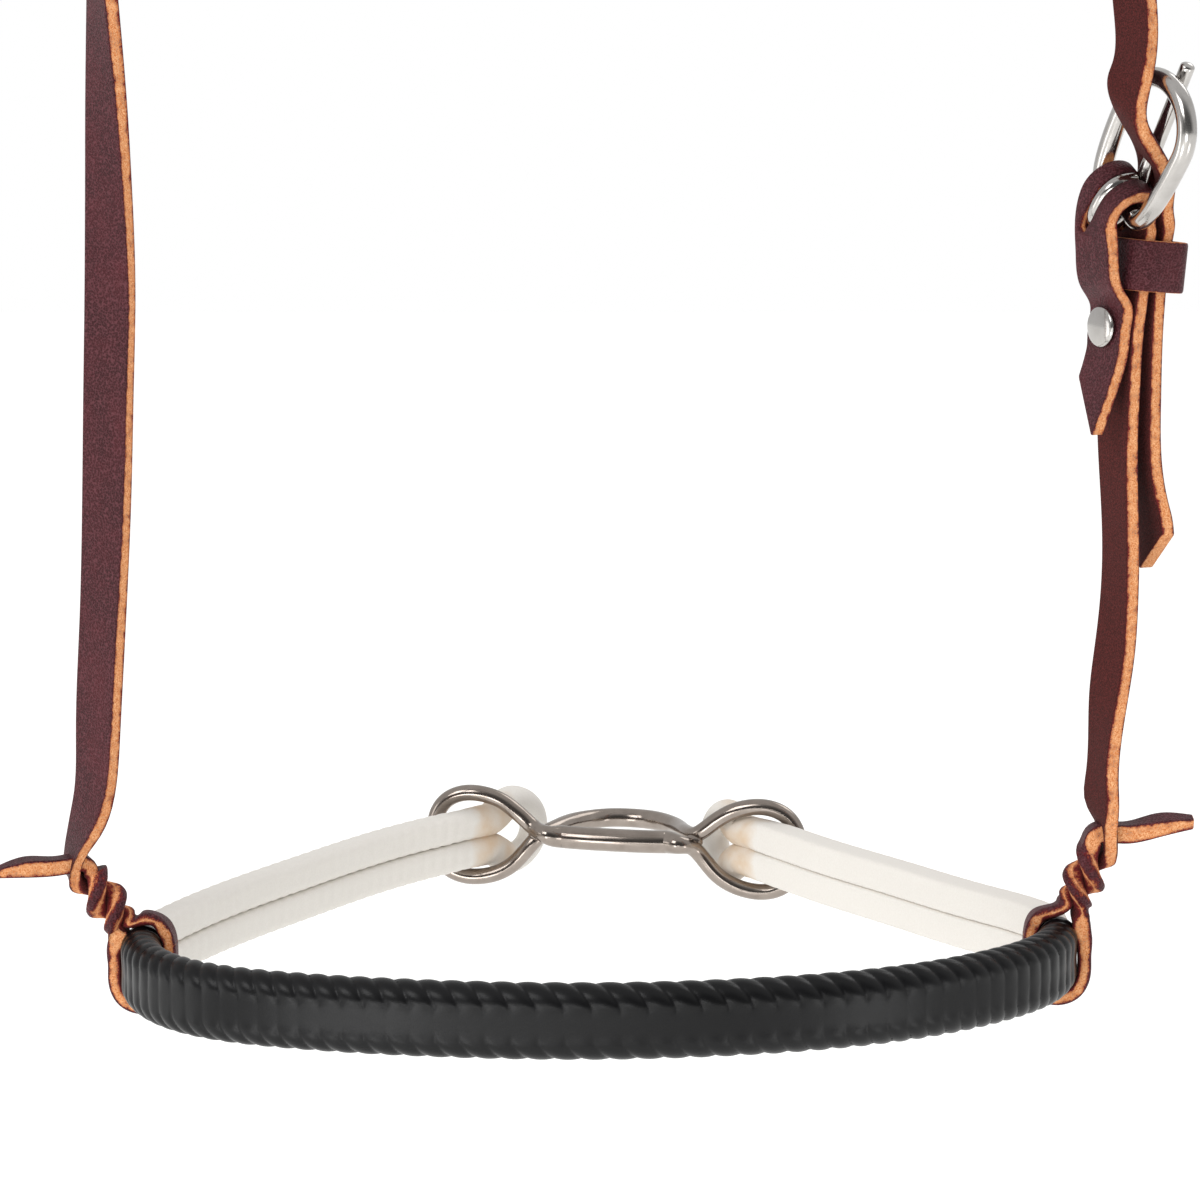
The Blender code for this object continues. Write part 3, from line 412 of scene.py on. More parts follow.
def ropePlan():
    # one spline: left bight, left eye, the plan's shares, right eye, right bight
    ends = []
    for side, bight in ((-1, noseband["leftBight"]), (1, noseband["rightBight"])):
        eye = (chinCentre + chinAlong * side * bight["inEye"])[:2]
        turn = np.radians(bight["turn"])
        way = np.array([-side * np.sin(turn), np.cos(turn)]) * bight["reach"]
        ends.append([eye + way, eye + way / 2, eye])
    body = planShares * (noseband["width"] / 2, noseband["depth"]) + (0, noseband["front"])
    points = np.concatenate([ends[0], body, ends[1][::-1]])
    knots = runOf(points)
    fine = splineRead(knots, points, np.linspace(0, knots[-1], 1600))
    run = runOf(fine)
    eyes = [run[np.argmin(np.linalg.norm(fine - end[2], axis=1))] for end in ends]
    return fine, run, eyes


planLine, planRun, eyeRuns = ropePlan()


def planAt(where):
    # places at distances along the plan
    flat = [np.interp(where, planRun, planLine[:, axis]) for axis in (0, 1)]
    return np.stack([*flat, np.full(len(where), float(noseband["level"]))], axis=1)


def loopRunOf(share):
    # distance along the plan of its point nearest to a share
    return planRun[np.argmin(np.linalg.norm(planLine - onPlan(share)[:2], axis=1))]


def within(where, start, end, outside, inside):
    # 1 between start and end, 0 beyond them, a smoothstep from outside to inside of each
    return ramp(where, start - outside, start + inside) * ramp(where, end + outside, end - inside)


leftRun, rightRun = loopRunOf(noseband["leftLoop"]), loopRunOf(noseband["rightLoop"])

print("stage 4: rope")
ropeLay = {"pitch": 4.5, "depth": 0.2, "around": 40, "step": 0.75, "squareLeft": 3.4, "squareRight": 8,
           "gap": 0.004, "eyeRun": (2, 12), "openRun": (14, -4), "blendRun": 20, "eyeDepth": 0.15,
           "smoother": 0.75, "eyeSwell": 0.14, "swellRun": (3, 14), "stainRun": (3, 13), "dashPitch": 4.5,
           "dashTurn": 112, "dashWidth": 0.12}


def bightRise(bight, beyond):
    # height of the strand over the middle: smoothstep to the swell, then a quarter ellipse to 0
    more = (bight["swell"] - noseband["rise"]) * ramp(beyond, bight["flare"], bight["widest"])
    turning = np.clip((beyond - bight["widest"]) / (bight["reach"] - bight["widest"]), 0, 1)
    return np.where(beyond < bight["widest"], noseband["rise"] + more,
                    bight["swell"] * np.sqrt(1 - turning**2))


def makeRope():
    # two laid strands in one endless line; radius = r + depth (|sin(pi phase)| ^ 0.8 - 0.6),
    # phase = run / pitch + turn / 2 pi, faded out under the cover and round the bights
    left, right = noseband["leftBight"], noseband["rightBight"]
    quarter = np.sin(np.linspace(0, np.pi / 2, 26)[1:])
    far = []
    for bight in (left, right):
        turning = bight["widest"] + (bight["reach"] - bight["widest"]) * quarter
        far.append(np.concatenate([np.linspace(0, bight["widest"], 18), turning]))
    between = np.arange(eyeRuns[0] + ropeLay["step"], eyeRuns[1], ropeLay["step"])
    places = np.concatenate([(eyeRuns[0] - far[0])[::-1], between, eyeRuns[1] + far[1]])
    places = np.clip(places, 0, planRun[-1])
    rises = np.concatenate([bightRise(left, far[0])[::-1], np.full(len(between), noseband["rise"]),
                            bightRise(right, far[1])])
    middle = planAt(places)
    ahead = unit(planAt(np.clip(places + 1, 0, planRun[-1])) - planAt(np.clip(places - 1, 0, planRun[-1])))
    front = unit(np.cross(ahead, up))
    path = np.concatenate([middle + rises[:, None] * up, (middle - rises[:, None] * up)[-2:0:-1]])
    outward = np.concatenate([front, front[-2:0:-1]])
    where = np.concatenate([places, places[-2:0:-1]])
    tangent = unit(np.roll(path, -1, 0) - np.roll(path, 1, 0))
    inward = unit(np.cross(tangent, outward))
    turn = circle(ropeLay["around"])
    run = runOf(path)
    pitch = run[-1] / round(run[-1] / ropeLay["pitch"])
    phase = run[:, None] / pitch + turn / (2 * np.pi)
    covered = ((where > leftRun) & (where < rightRun)).astype(float)
    eased = within(where, *eyeRuns, *ropeLay["eyeRun"])
    halfway = 0.5 * (leftRun + rightRun)
    smoother = 1 - ropeLay["smoother"] * ramp(where, halfway, rightRun)
    shallow = ropeLay["eyeDepth"] + (1 - ropeLay["eyeDepth"]) * eased
    depth = (ropeLay["depth"] * (1 - covered) * shallow * smoother)[:, None]
    fromBight = np.minimum(np.abs(where - eyeRuns[0] + 6), np.abs(where - eyeRuns[1] - 6))
    spreading = 1 + ropeLay["eyeSwell"] * (1 - ramp(fromBight, *ropeLay["swellRun"]))
    radius = noseband["rope"] / 2 * spreading[:, None] + depth * (np.abs(np.sin(np.pi * phase)) ** 0.8 - 0.6)
    # pressed together, the section is a superellipse |x|^p + |y|^p = r^p that reaches the middle but
    # for a gap, a share of r, so that no two faces meet; p differs to the left and the right
    share = ramp(where, halfway - ropeLay["blendRun"], halfway + ropeLay["blendRun"])
    inOpen = 1 - within(where, leftRun, rightRun, *ropeLay["openRun"])
    square = ropeLay["squareLeft"] + (ropeLay["squareRight"] - ropeLay["squareLeft"]) * share
    square = 2 + (square - 2) * eased * inOpen
    power = (2 / square)[:, None]
    x = bulged(np.cos(turn), power)
    taller = 1 + (noseband["rise"] / (noseband["rope"] / 2) - (1 + ropeLay["gap"])) * eased
    y = bulged(np.sin(turn), power) * taller[:, None]
    grid = path[:, None] + (radius * x)[..., None] * outward[:, None]
    grid = grid + (radius * y)[..., None] * inward[:, None]
    # marks: stained at the eyes, and painted shade, dashes exp(-(turn / width)^2) where the left strands meet
    fromEye = np.minimum(np.abs(where - eyeRuns[0] + 4), np.abs(where - eyeRuns[1] - 4))
    stain = 1 - ramp(fromEye, *ropeLay["stainRun"])
    dashRun = ramp(where, eyeRuns[0] + 6, eyeRuns[0] + 26) * ramp(where, leftRun - 12, leftRun - 38)
    fromMeet = (turn - np.radians(ropeLay["dashTurn"]) + np.pi) % (2 * np.pi) - np.pi
    meet = np.exp(-(fromMeet / ropeLay["dashWidth"]) ** 2)
    dash = ramp(np.sin(2 * np.pi * where / ropeLay["dashPitch"]), -0.3, 0.4)
    marks = {"stain": stain[:, None], "crease": (dashRun * dash)[:, None] * meet}
    obj = putMesh("laidRope", grid * mm, whiteRope, marks, loopRows=True)
    return placedMesh(obj, "noseband", "rope", "nose_rope")


makeRope()

print("stage 5: rubber cover")
cover = {"radius": 4.7, "wall": 0.5, "pastLoop": 1.5, "strands": 3, "depth": 0.62, "flatDepth": 0.12,
         "endDepth": 0.75, "lip": 0.5, "seamShare": 0.45, "calmShare": 0.15, "edgeRun": (0.02, 0.62),
         "rim": 2, "rimDrop": 0.12, "endReach": 82, "step": 0.36, "arc": 34, "flat": 9, "innerRows": 8,
         "pitch": (6.35, 5.3, 4.6, 4.1), "pitchAt": (0, 50, 85, 112)}


def makeCover():
    # stadium round both ropes; the strands press through: lift = depth (|sin(pi phase)| ^ 0.6 - 0.68)
    # with phase = sum of step / pitch + strands turn / 2 pi; the pitch closes up towards the ends,
    # and the face between the ropes is nearly flat except there, but for a lip by each rope
    start, end = leftRun - cover["pastLoop"], rightRun + cover["pastLoop"]
    where = np.arange(start, end + cover["step"] / 2, cover["step"])
    middle = planAt(where)
    ahead = unit(planAt(where + 0.8) - planAt(where - 0.8))
    out = unit(np.cross(ahead, up))
    arc = np.linspace(0, np.pi, cover["arc"])
    flat = np.linspace(1, -1, cover["flat"] + 2)[1:-1]
    turn = np.concatenate([arc, np.full(len(flat), np.pi), arc + np.pi, np.full(len(flat), 2 * np.pi)])
    centre = np.concatenate([np.ones(len(arc)), flat, -np.ones(len(arc)), flat[::-1]]) * noseband["rise"]
    fromFlat = np.abs(np.sin(turn))
    ends = 1 - within(where, start, end, 0, cover["endReach"])
    edge = ramp(fromFlat, *cover["edgeRun"])[None]
    middleDepth = (cover["flatDepth"] + cover["endDepth"] * ends)[:, None]
    nearRope = np.abs(centre) / noseband["rise"]
    lip = cover["lip"] * nearRope**4
    middleDepth = middleDepth * (cover["seamShare"] + (1 - cover["seamShare"]) * nearRope)
    depth = cover["depth"] * edge + np.maximum(middleDepth, lip) * (1 - edge)
    onlyEnds = cover["calmShare"] + (1 - cover["calmShare"]) * ends[:, None]
    depth = np.where(fromFlat[None] < cover["edgeRun"][0], np.maximum(middleDepth * onlyEnds, lip), depth)
    fromMiddle = np.abs(where - 0.5 * (start + end))
    turns = np.cumsum(cover["step"] / np.interp(fromMiddle, cover["pitchAt"], cover["pitch"]))
    phase = turns[:, None] + cover["strands"] * turn / (2 * np.pi)
    wave = np.abs(np.sin(np.pi * phase)) ** 0.6 - 0.68
    settle = within(where, start, end, 0, cover["rim"])[:, None]
    outer = cover["radius"] - cover["rimDrop"] * (1 - settle) + depth * wave * settle
    inner = np.full_like(outer, cover["radius"] - cover["wall"])
    shells = []
    for radius in (outer, inner):
        grid = middle[:, None] + out[:, None] * (radius * np.cos(turn))[..., None]
        grid[..., 2] += radius * np.sin(turn) + centre
        shells.append(grid)
    # the smooth inner wall needs only every eighth row, and both end rows
    inside = np.arange(0, len(where), cover["innerRows"])
    inside = np.unique(np.append(inside, len(where) - 1))[::-1]
    grid = np.concatenate([shells[0], shells[1][inside]])
    obj = putMesh("rubberSleeve", grid * mm, blackRubber, loopRows=True)
    return placedMesh(obj, "noseband", "cover", "nose_cover")


makeCover()

print("stage 6: chin fitting")


def chinPath():
    # a quarter of the wire turned about each of its axes, closed and smoothed
    half = chin["length"] / 2 - chin["wire"] / 2
    neck, rise, ring = chin["neck"], chin["eyeRise"], chin["ring"]
    quarter = np.array([
        (-half, 0, 0), (-half + 0.6, 0, 0.42 * rise), (-half + 3.6, 0, 0.80 * rise),
        (-half + 8.5, 0, 0.98 * rise), (-half + 13.5, 0, 0.98 * rise), (-half + 18.5, 0, 0.86 * rise),
        (-neck - 5.0, -0.5, 0.52 * rise), (-neck, -1.7, 1.5), (-neck + 2.6, -4.8, 0.6),
        (-0.94 * ring, -0.50 * ring, 0.1), (-0.70 * ring, -0.76 * ring, 0), (-0.36 * ring, -0.95 * ring, 0),
        (0, -ring, 0)])
    line = np.concatenate([quarter, quarter[-2::-1] * (-1, 1, -1), quarter[1:] * (-1, -1, 1),
                           quarter[-2:0:-1] * (1, -1, -1)])
    laps = np.tile(line, (3, 1))
    knots = runOf(laps)
    read = np.linspace(knots[len(line)], knots[2 * len(line)], 561)[:-1]
    path = splineRead(knots, laps, read)
    path[:, 2] += chin["ringLift"] * (1 - ramp(np.abs(path[:, 0]), 0.8 * ring, 1.7 * ring))
    # inside the necks the circle becomes a D: y times the front's or the bow's share of the radius
    inside = ramp(-np.abs(path[:, 0]), -neck, -0.8 * ring)
    depth = np.where(path[:, 1] < 0, chin["ringFront"], chin["ringBack"]) / ring
    path[:, 1] *= 1 + inside * (depth - 1)
    path[:, 2] -= chin["ringSag"] * inside
    places = chinCentre + path[:, :1] * chinAlong + path[:, 1:2] * chinBack + path[:, 2:] * chinUp
    fuller = np.where(path[:, 1] < 0, chin["frontSwell"], chin["ringSwell"])
    return places, 1 + (fuller - 1) * inside


def bead(name, centre, radii, material):
    # ellipsoid: x = a cos v cos u, y = b cos v sin u, z = c sin v
    v = np.linspace(-1.52, 1.52, 16)[:, None]
    u = circle(24)
    shape = np.stack([np.cos(v) * np.cos(u), np.cos(v) * np.sin(u), np.sin(v) + 0 * u], axis=-1) * radii
    grid = centre + shape[..., :1] * chinAlong + shape[..., 1:2] * chinBack + shape[..., 2:] * chinUp
    return putMesh(name, grid * mm, material)


wirePath, wireSwell = chinPath()
wire = roundTube("chinWire", wirePath * mm, chin["wire"] / 2 * mm, wornShadedNickel, True, 22, wireSwell)
placedMesh(wire, "chin", "nickel", "chin_fitting")
for name, side in (("leftWeld", -1), ("rightWeld", 1)):
    spot = chinCentre + chinAlong * side * chin["neck"] + chinUp * chin["ringLift"] / 2
    placedMesh(bead(name, spot, chin["weld"], wornShadedNickel), "chin", "nickel", "chin_fitting")

print("stage 7: straps")
# the corners of a rounded rectangle: the signs of x and y, and the degrees at which each starts
fourCorners = ((1, 1, 0), (-1, 1, 90), (-1, -1, 180), (1, -1, 270))
strap = {"width": 12.3, "thickness": 3.6, "strip": 5.8, "stripThick": 3.3, "knotWidth": 5.5, "knotThick": 5.7,
         "legApart": 5.2, "footShare": 0.7, "shoulder": (4.0, 4.4), "gather": 0.52, "corner": 0.4,
         "stripCorner": 0.7, "knotCorner": 2.6, "knotMark": 0.64, "edgeMark": 0.3, "tailWidth": 5.2,
         "loopWide": 6.65, "loopHigh": 11.1, "slit": 0.35, "slitReach": 4.2, "inset": 0.04}
# tailRoll turns the tail's top to the front; tailEnds are shares of its width and thickness, in the
# middle and at the tip
leftKnot = {"foot": (4.7, 9.0), "head": (13.4, 21.8), "turn": 360, "slit": 24.2, "tail": 19.0, "rise": 0.1,
            "tailThick": 3.9, "tailRoll": 4, "tailEnds": (1.0, 1.05, 0.6, 0.6)}
rightKnot = {"foot": (3.8, 12.6), "head": (9.0, 24.8), "turn": 336, "slit": 29.6, "tail": 20.4, "rise": 2.6,
             "tailThick": 4.6, "tailRoll": 14, "tailEnds": (1.0, 0.95, 0.6, 0.62)}
# how far the tail's first stations lie ahead of the slit and over it, and how level they lie
tailStart = ((-3.9, -2.0, 0.2), (-3.3, -0.6, 0.55), (-1.5, 0.35, 0.95), (0.6, 0.3, 1), (4, 0.05, 1))
# out from the loop, back, up, and the degrees between the face and the front
leftRows = ((13.8, -0.5, 31.5, 60), (11.0, 0, 41, 47), (9.8, 0.6, 56, 40), (8.2, 1.4, 83, 36),
            (6.6, 2.6, 116, 29), (5.8, 3.4, 140, 26), (5.1, 4, 161, 25), (4.9, 4, 187, 37),
            (5.0, 4, 203, 45), (5.4, 4, 230, 62), (6.3, 4, 270, 80), (7.5, 4, 310, 90))
hangerRows = np.array([
    (10.3, -0.5, 36, 74), (10.0, -0.8, 43.6, 74), (11.0, -2, 64.8, 65), (12.0, -3, 75.5, 63),
    (12.7, -3.5, 87, 67), (12.7, -4, 102, 69), (12.2, -4, 112, 68), (11.4, -3.8, 129, 63),
    (11.5, -3.4, 140, 60), (12.2, -2.8, 153.7, 60), (12.9, -2.6, 160, 60), (13.7, -2.4, 169, 60),
    (14.5, -2.3, 175, 60)])
# height, and the gap to the hanger there
lapGaps = ((172, 6.9), (167, 5.8), (163, 4.1), (158.5, 0.6), (153.7, 0.3), (148.5, 0.45), (143, 1.8),
           (135.5, 4.4))
tailGaps = ((176, 1.8), (169, 1.5), (160, 1.6), (153.7, 2.1), (136, 2.8), (117, 3.6), (106, 5.6),
            (99.5, 6.2))
crownRight = ((7.5, -4, 310, 90), (10.5, -5.5, 270, 80), (11.7, -12.8, 230, 60), (11.5, -16.2, 216, 62))
# along the buckle's bar, up its frame and out of it
throughBuckle = np.array([
    (-5.0, 24.5, -6.3), (-2.2, 20.0, -3.4), (-0.2, 15.5, 1.0), (0, 8.5, 6.8), (0, 0.5, 10.1)])
# half the flat over the poll, and the quarter ellipses' height and the place of their feet
arch = {"flat": 20, "high": 120, "out": 7.5, "back": 4, "foot": 350}
# how far a strap's end is cut slanting across its width
endSlant = {"crown": -5, "hanger": 7}


def cheekOf(share, side):
    # one side's loop: its middle, and level directions backwards along the rope and out of the ring
    loop = onPlan(share)
    ends = planAt(loopRunOf(share) + np.array([-1, 1]))
    along = unit(ends[0] - ends[1]) * side
    return {"loop": loop, "side": side, "back": -along, "out": np.array([-along[1], along[0], 0]) * side}


def facingOf(cheek, face):
    # the way a strap's face looks, side (sin, cos) of the turn, and the way across it, (cos, -sin)
    turn = np.radians(face)
    facing = np.array([np.sin(turn), np.cos(turn), 0]) * cheek["side"]
    return facing, np.array([np.cos(turn), -np.sin(turn), 0])


def placeOf(cheek, out, back, high):
    return cheek["loop"] + np.array([cheek["side"] * out, back, high])


def stationsOf(cheek, rows):
    # a station is a place, the way the face looks there and the way across it
    return [(*placeOf(cheek, *row[:3]), *np.concatenate(facingOf(cheek, row[3]))) for row in rows]


def joined(places, facing, across):
    # the same for arrays of places
    return np.concatenate([places, facing, np.broadcast_to(across, facing.shape)], axis=1).tolist()


def loopStations(cheek, names):
    # the strip round the cover: half circles above and below, straight beside
    wide, high = strap["loopWide"], strap["loopHigh"]
    straight = high - wide
    spots = {
        "innerHigh": (-wide, straight, -1, 0),
        "inner": (-wide, 0, -1, 0),
        "innerLow": (-wide, -straight, -1, 0),
        "underInner": (-0.71 * wide, -straight - 0.71 * wide, -0.71, -0.71),
        "under": (0, -high, 0, -1),
        "underOuter": (0.71 * wide, -straight - 0.71 * wide, 0.71, -0.71),
        "outerLow": (wide, -straight, 1, 0),
        "outer": (wide, 0, 1, 0),
        "outerHigh": (0.97 * wide, straight - 0.6, 1, 0.05),
        "outerTop": (0.84 * wide, straight + 0.6 * wide, 0.97, 0.25),
        "overInner": (-0.71 * wide, straight + 0.71 * wide, -0.71, 0.71),
        "over": (-0.1 * wide, high - 0.35, 0, 1)}
    rows = np.array([spots[name] for name in names])
    places = cheek["loop"] + rows[:, :1] * cheek["out"] + rows[:, 1:2] * up
    facing = rows[:, 2:3] * cheek["out"] + rows[:, 3:] * up
    return joined(places, facing, -cheek["back"])


def knotPair(cheek, knot):
    # two legs half a gap either side of a line and closer at the foot, turned about it by
    # turn (1.25 t - 0.25 t^3) of the share t
    foot = placeOf(cheek, knot["foot"][0], 0, knot["foot"][1])
    head = placeOf(cheek, knot["head"][0], -0.3, knot["head"][1])
    front = -cheek["back"]
    outward = unit(np.cross(unit(head - foot), front))
    outward = outward * np.sign(outward[0] * cheek["side"])
    share = np.linspace(0, 1, 15)[:, None]
    turn = np.radians(knot["turn"]) * share * (1.25 - 0.25 * share**2)
    normal = outward * np.cos(turn) + front * np.sin(turn)
    across = front * np.cos(turn) - outward * np.sin(turn)
    centre = foot + (head - foot) * share
    offset = strap["legApart"] / 2 * (strap["footShare"] + (1 - strap["footShare"]) * ramp(share, 0, 0.4))
    return [joined(centre + side * normal * offset, side * normal, across) for side in (1, -1)]


def strapSurface(name, read, slants=(0, 0), reach=22, grow=0.0):
    # rounded rectangle carried along the line: x across the strap, y through its thickness, corners
    # of one radius; side is 1 on the grain, -1 on the flesh and 0 on the raw edges and ends, and a
    # strand worked round in the knot shows more of its raw edge
    wide, thick = read[:, 9:10] + grow, read[:, 10:11] + grow
    corner = np.minimum(read[:, 11:12], 0.88 * np.minimum(wide, thick))
    holdWide, holdThick = np.minimum(0.5, 0.8 * (wide - corner)), np.minimum(0.8, 0.8 * (thick - corner))
    arc = np.linspace(0, 90, 5)
    columns = []
    for sx, sy, start in fourCorners:
        for degrees in arc:
            turn = np.radians(start + degrees)
            high = np.sin(turn)
            mark = np.sign(high) * (strap["edgeMark"] + (1 - strap["edgeMark"]) * abs(high))
            mark = mark if abs(high) > 1e-6 else strap["edgeMark"] * sy
            columns.append((sx, sy, np.cos(turn) - sx, high - sy, 0, 0, mark))
        last = start + 90
        if last in (90, 270):
            columns.append((sx, sy, -sx, 0, -sx, 0, sy))
            columns.append((-sx, sy, sx, 0, sx, 0, sy))
        else:
            columns.append((sx, sy, 0, -sy, 0, -sy, 0))
            columns.append((sx, -sy, 0, sy, 0, sy, 0))
    sx, sy, cornerX, cornerY, holdX, holdY, side = np.array(columns).T
    facing, across = unit(read[:, 3:6]), unit(read[:, 6:9])
    tangent = unit(np.gradient(read[:, :3], axis=0))
    x = wide * sx + corner * cornerX + holdWide * holdX
    y = thick * sy + corner * cornerY + holdThick * holdY
    run = runOf(read[:, :3])
    lean = slants[0] * ramp(run, reach, 0) + slants[1] * ramp(run, run[-1] - reach, run[-1])
    grid = read[:, None, :3] + across[:, None] * x[..., None] + facing[:, None] * y[..., None]
    grid = grid + tangent[:, None] * (lean[:, None] * x / read[:, 9:10])[..., None]
    marks = side * (1 - (1 - strap["knotMark"]) * ramp(corner, strap["stripCorner"], strap["knotCorner"]))
    # the ends close over two shrinking rings, raw like the edges
    ends = []
    for i, way in ((0, -1), (-1, 1)):
        middle = read[i, :3]
        one = middle + (grid[i] - middle) * 0.97 + tangent[i] * way * 0.25
        two = middle + (grid[i] - middle) * 0.82 + tangent[i] * way * 0.4
        ends.append((one, two))
    grid = np.concatenate([[ends[0][1], ends[0][0]], grid, [ends[1][0], ends[1][1]]])
    edge = marks[:1] * strap["edgeMark"]
    marks = np.concatenate([edge * 0, edge, marks, edge, edge * 0])
    return putMesh(name, grid * mm, latigoLeather, {"side": marks})


def makeStrap(name, cheek, knot, above, fineFrom, slants):
    # the loop, one leg of the knot and the strap above it as one surface; the strip that returns
    # over the loop, the other leg and the tail through its slit as another
    strip, wide = strap["strip"] / 2, strap["width"] / 2
    loop = loopStations(cheek, ("innerHigh", "inner", "innerLow", "underInner", "under", "underOuter",
                                "outerLow", "outer", "outerHigh", "outerTop"))
    leg, back = knotPair(cheek, knot)
    # the strand swells into the knot, then spreads in a funnel to the whole strap above it
    spread = np.linspace(strap["knotWidth"] / 2, strap["gather"] * wide, len(leg) - 8).tolist()
    narrowed = np.linspace(strip, strap["knotWidth"] / 2, 8).tolist()
    widths = [strip] * len(loop) + narrowed + spread + [wide] * len(above)
    swelling = np.linspace(strap["shoulder"][1], strap["knotThick"], 4).tolist() + [strap["knotThick"]] * 4
    thinning = np.linspace(strap["knotThick"], strap["thickness"], len(leg) - 8).tolist()
    depths = [strap["stripThick"]] * (len(loop) - 2) + list(strap["shoulder"]) + swelling + thinning
    depths = [depth / 2 for depth in depths] + [strap["thickness"] / 2] * len(above)
    corners = [strap["stripCorner"]] * len(loop) + [strap["knotCorner"]] * 9
    corners += list(np.linspace(strap["knotCorner"], strap["corner"], len(leg) - 9))
    corners += [strap["corner"]] * len(above)
    rows = [(*row, w, t, c) for row, w, t, c in zip(loop + leg + above, widths, depths, corners)]
    first = len(loop) + len(leg)
    read = smoothLine(rows, [(first, 0.6), (first + fineFrom, 2.4), (len(rows) - 1, 0.8)])
    flat = read[:, 2] > strap["thickness"] / 2 - 0.01
    read[flat, 2] = strap["thickness"] / 2
    read[flat, 3:6] = up
    made = strapSurface(name, read, slants)

    level = cheek["loop"][2] + knot["slit"]
    knotted = read[np.argmax((read[:, 2] > level) & (read[:, 9] > 0.66 * wide))]
    middle = knotted[:3]
    facing, across = unit(knotted[3:6] * (1, 1, 0)), unit(knotted[6:9] * (1, 1, 0))
    tail = []
    for along, high, lean in tailStart:
        place = middle + facing * along + up * high
        tail.append((*place, *(facing * (lean - 1) + up * lean), *across))
    last = middle + facing * knot["tail"] + up * knot["rise"]
    turn = np.radians(knot["tailRoll"])
    top, side = up * np.cos(turn) + across * np.sin(turn), across * np.cos(turn) - up * np.sin(turn)
    tail.append((*((np.array(tail[-1][:3]) + last) / 2 + up * 0.5), *top, *side))
    tail.append((*last, *top, *side))
    returning = loopStations(cheek, ("inner", "innerHigh", "overInner", "over")) + back[:-1]
    # the returning strip is a little smaller, so that no face lies on the loop's
    inset = strap["inset"]
    halves = [strap["stripThick"] / 2 - inset] * 4 + [strap["knotThick"] / 2 - inset] * (len(back) - 1)
    halves[4:7] = np.linspace(strap["shoulder"][0], strap["knotThick"], 4)[:3] / 2
    corners = [strap["stripCorner"]] * 3 + [strap["knotCorner"]] * len(back)
    sides = [strip - inset] * 4 + [strap["knotWidth"] / 2 - inset] * (len(back) - 1)
    rows = [(*row, *sizes) for row, *sizes in zip(returning, sides, halves, corners)]
    shares = np.array([(1, 1)] * 5 + [knot["tailEnds"][:2], knot["tailEnds"][2:]])
    tailHalf = shares * (strap["tailWidth"] / 2, knot["tailThick"] / 2)
    rows += [(*row, *half, strap["corner"]) for row, half in zip(tail, tailHalf)]
    read = smoothLine(rows, [(len(rows) - 1, 0.6)])
    near = read[np.linalg.norm(read[:, :3] - middle, axis=1) < strap["slitReach"]]
    cutBy(made, strapSurface("slit", near, grow=strap["slit"]))
    return made, strapSurface(name + "KnotTail", read)


left, right = cheekOf(noseband["leftLoop"], -1), cheekOf(noseband["rightLoop"], 1)
buckle = {"wire": 4.7, "length": 32.5, "halfWidth": 12.05, "widest": 21.3, "bar": 7.5, "tongue": 3.5,
          "past": 1.2, "face": 60, "roll": 35, "place": (10.4, -5.5, 183.4), "fold": 1.4, "slot": (17, 20),
          "slotAt": -0.3, "slotWidth": 3.8, "hole": (4.9, 15, 4.9), "holeAt": 11.2, "lean": -3.0}
buckleOut, level = facingOf(right, buckle["face"])
roll = np.radians(buckle["roll"])
buckleBar = level * np.cos(roll) - up * np.sin(roll)
buckleUp = level * np.sin(roll) + up * np.cos(roll)
buckleOrigin = right["loop"] + buckle["place"]


def inBuckle(spots):
    # bar, up the frame, out of it
    spots = np.asarray(spots, float)
    return buckleOrigin + spots[..., :1] * buckleBar + spots[..., 1:2] * buckleUp + spots[..., 2:] * buckleOut


def hangerAt(high):
    # the hanger's row at a height, and above its last row a line that leans out by 1 in 50
    out, back, top, face = hangerRows[-1]
    if high > top:
        return (out + 0.02 * (high - top), back, high, face)
    return splineRead(hangerRows[:, 2], hangerRows, np.array([float(high)]))[0]


def besideHanger(gaps, side):
    # stations of a layer behind (1) or in front (-1) of the hanger, a gap away from it
    rows = []
    for high, gap in gaps:
        out, back, _, face = hangerAt(high)
        facing, across = facingOf(right, face)
        rows.append((*(placeOf(right, out, back, high) + facing * side * (gap + strap["thickness"])),
                     *(facing * side), *across))
    return rows


def foldStations():
    # half circle over the bar
    radius = buckle["wire"] / 2 + buckle["fold"] + strap["thickness"] / 2
    turn = np.radians([0, 30, 60, 90, 120, 150, 180])[:, None]
    facing = np.sin(turn) * buckleUp + np.cos(turn) * buckleOut
    return joined(buckleOrigin + radius * facing, facing, buckleBar)


def archStations(leftFoot, rightFoot):
    # quarter ellipses from each foot to the flat over the poll
    rows = []
    for foot, side in ((leftFoot, -1), (rightFoot, 1)):
        reach = abs(foot[0]) - arch["flat"]
        turn = np.radians([0, 20, 40, 60, 75, 90])
        zero = 0 * turn
        places = np.stack([side * (arch["flat"] + reach * np.cos(turn)), zero + foot[1],
                           strap["thickness"] / 2 + arch["high"] * (np.sin(turn) - 1)], 1)
        facing = unit(np.stack([side * np.cos(turn) * arch["high"], zero, np.sin(turn) * reach], 1))
        part = joined(places, facing, (0, -1, 0))
        rows += part if side < 0 else part[::-1]
    return rows


def stadiumBlock(name, size, centre):
    # |x / a|^4 + |y / b|^4 = 1 outline, drawn through the leather along the buckle's third axis
    turn = circle(28)
    outline = np.stack([bulged(np.cos(turn), 0.5) * size[0] / 2, bulged(np.sin(turn), 0.5) * size[1] / 2], 1)
    ends = [np.concatenate([outline, np.full((28, 1), h)], 1) for h in (-size[2] / 2, size[2] / 2)]
    grid = inBuckle(np.array(ends) + np.asarray(centre, float))
    return putMesh(name, grid * mm, latigoLeather, {"side": np.zeros((2, 28))})


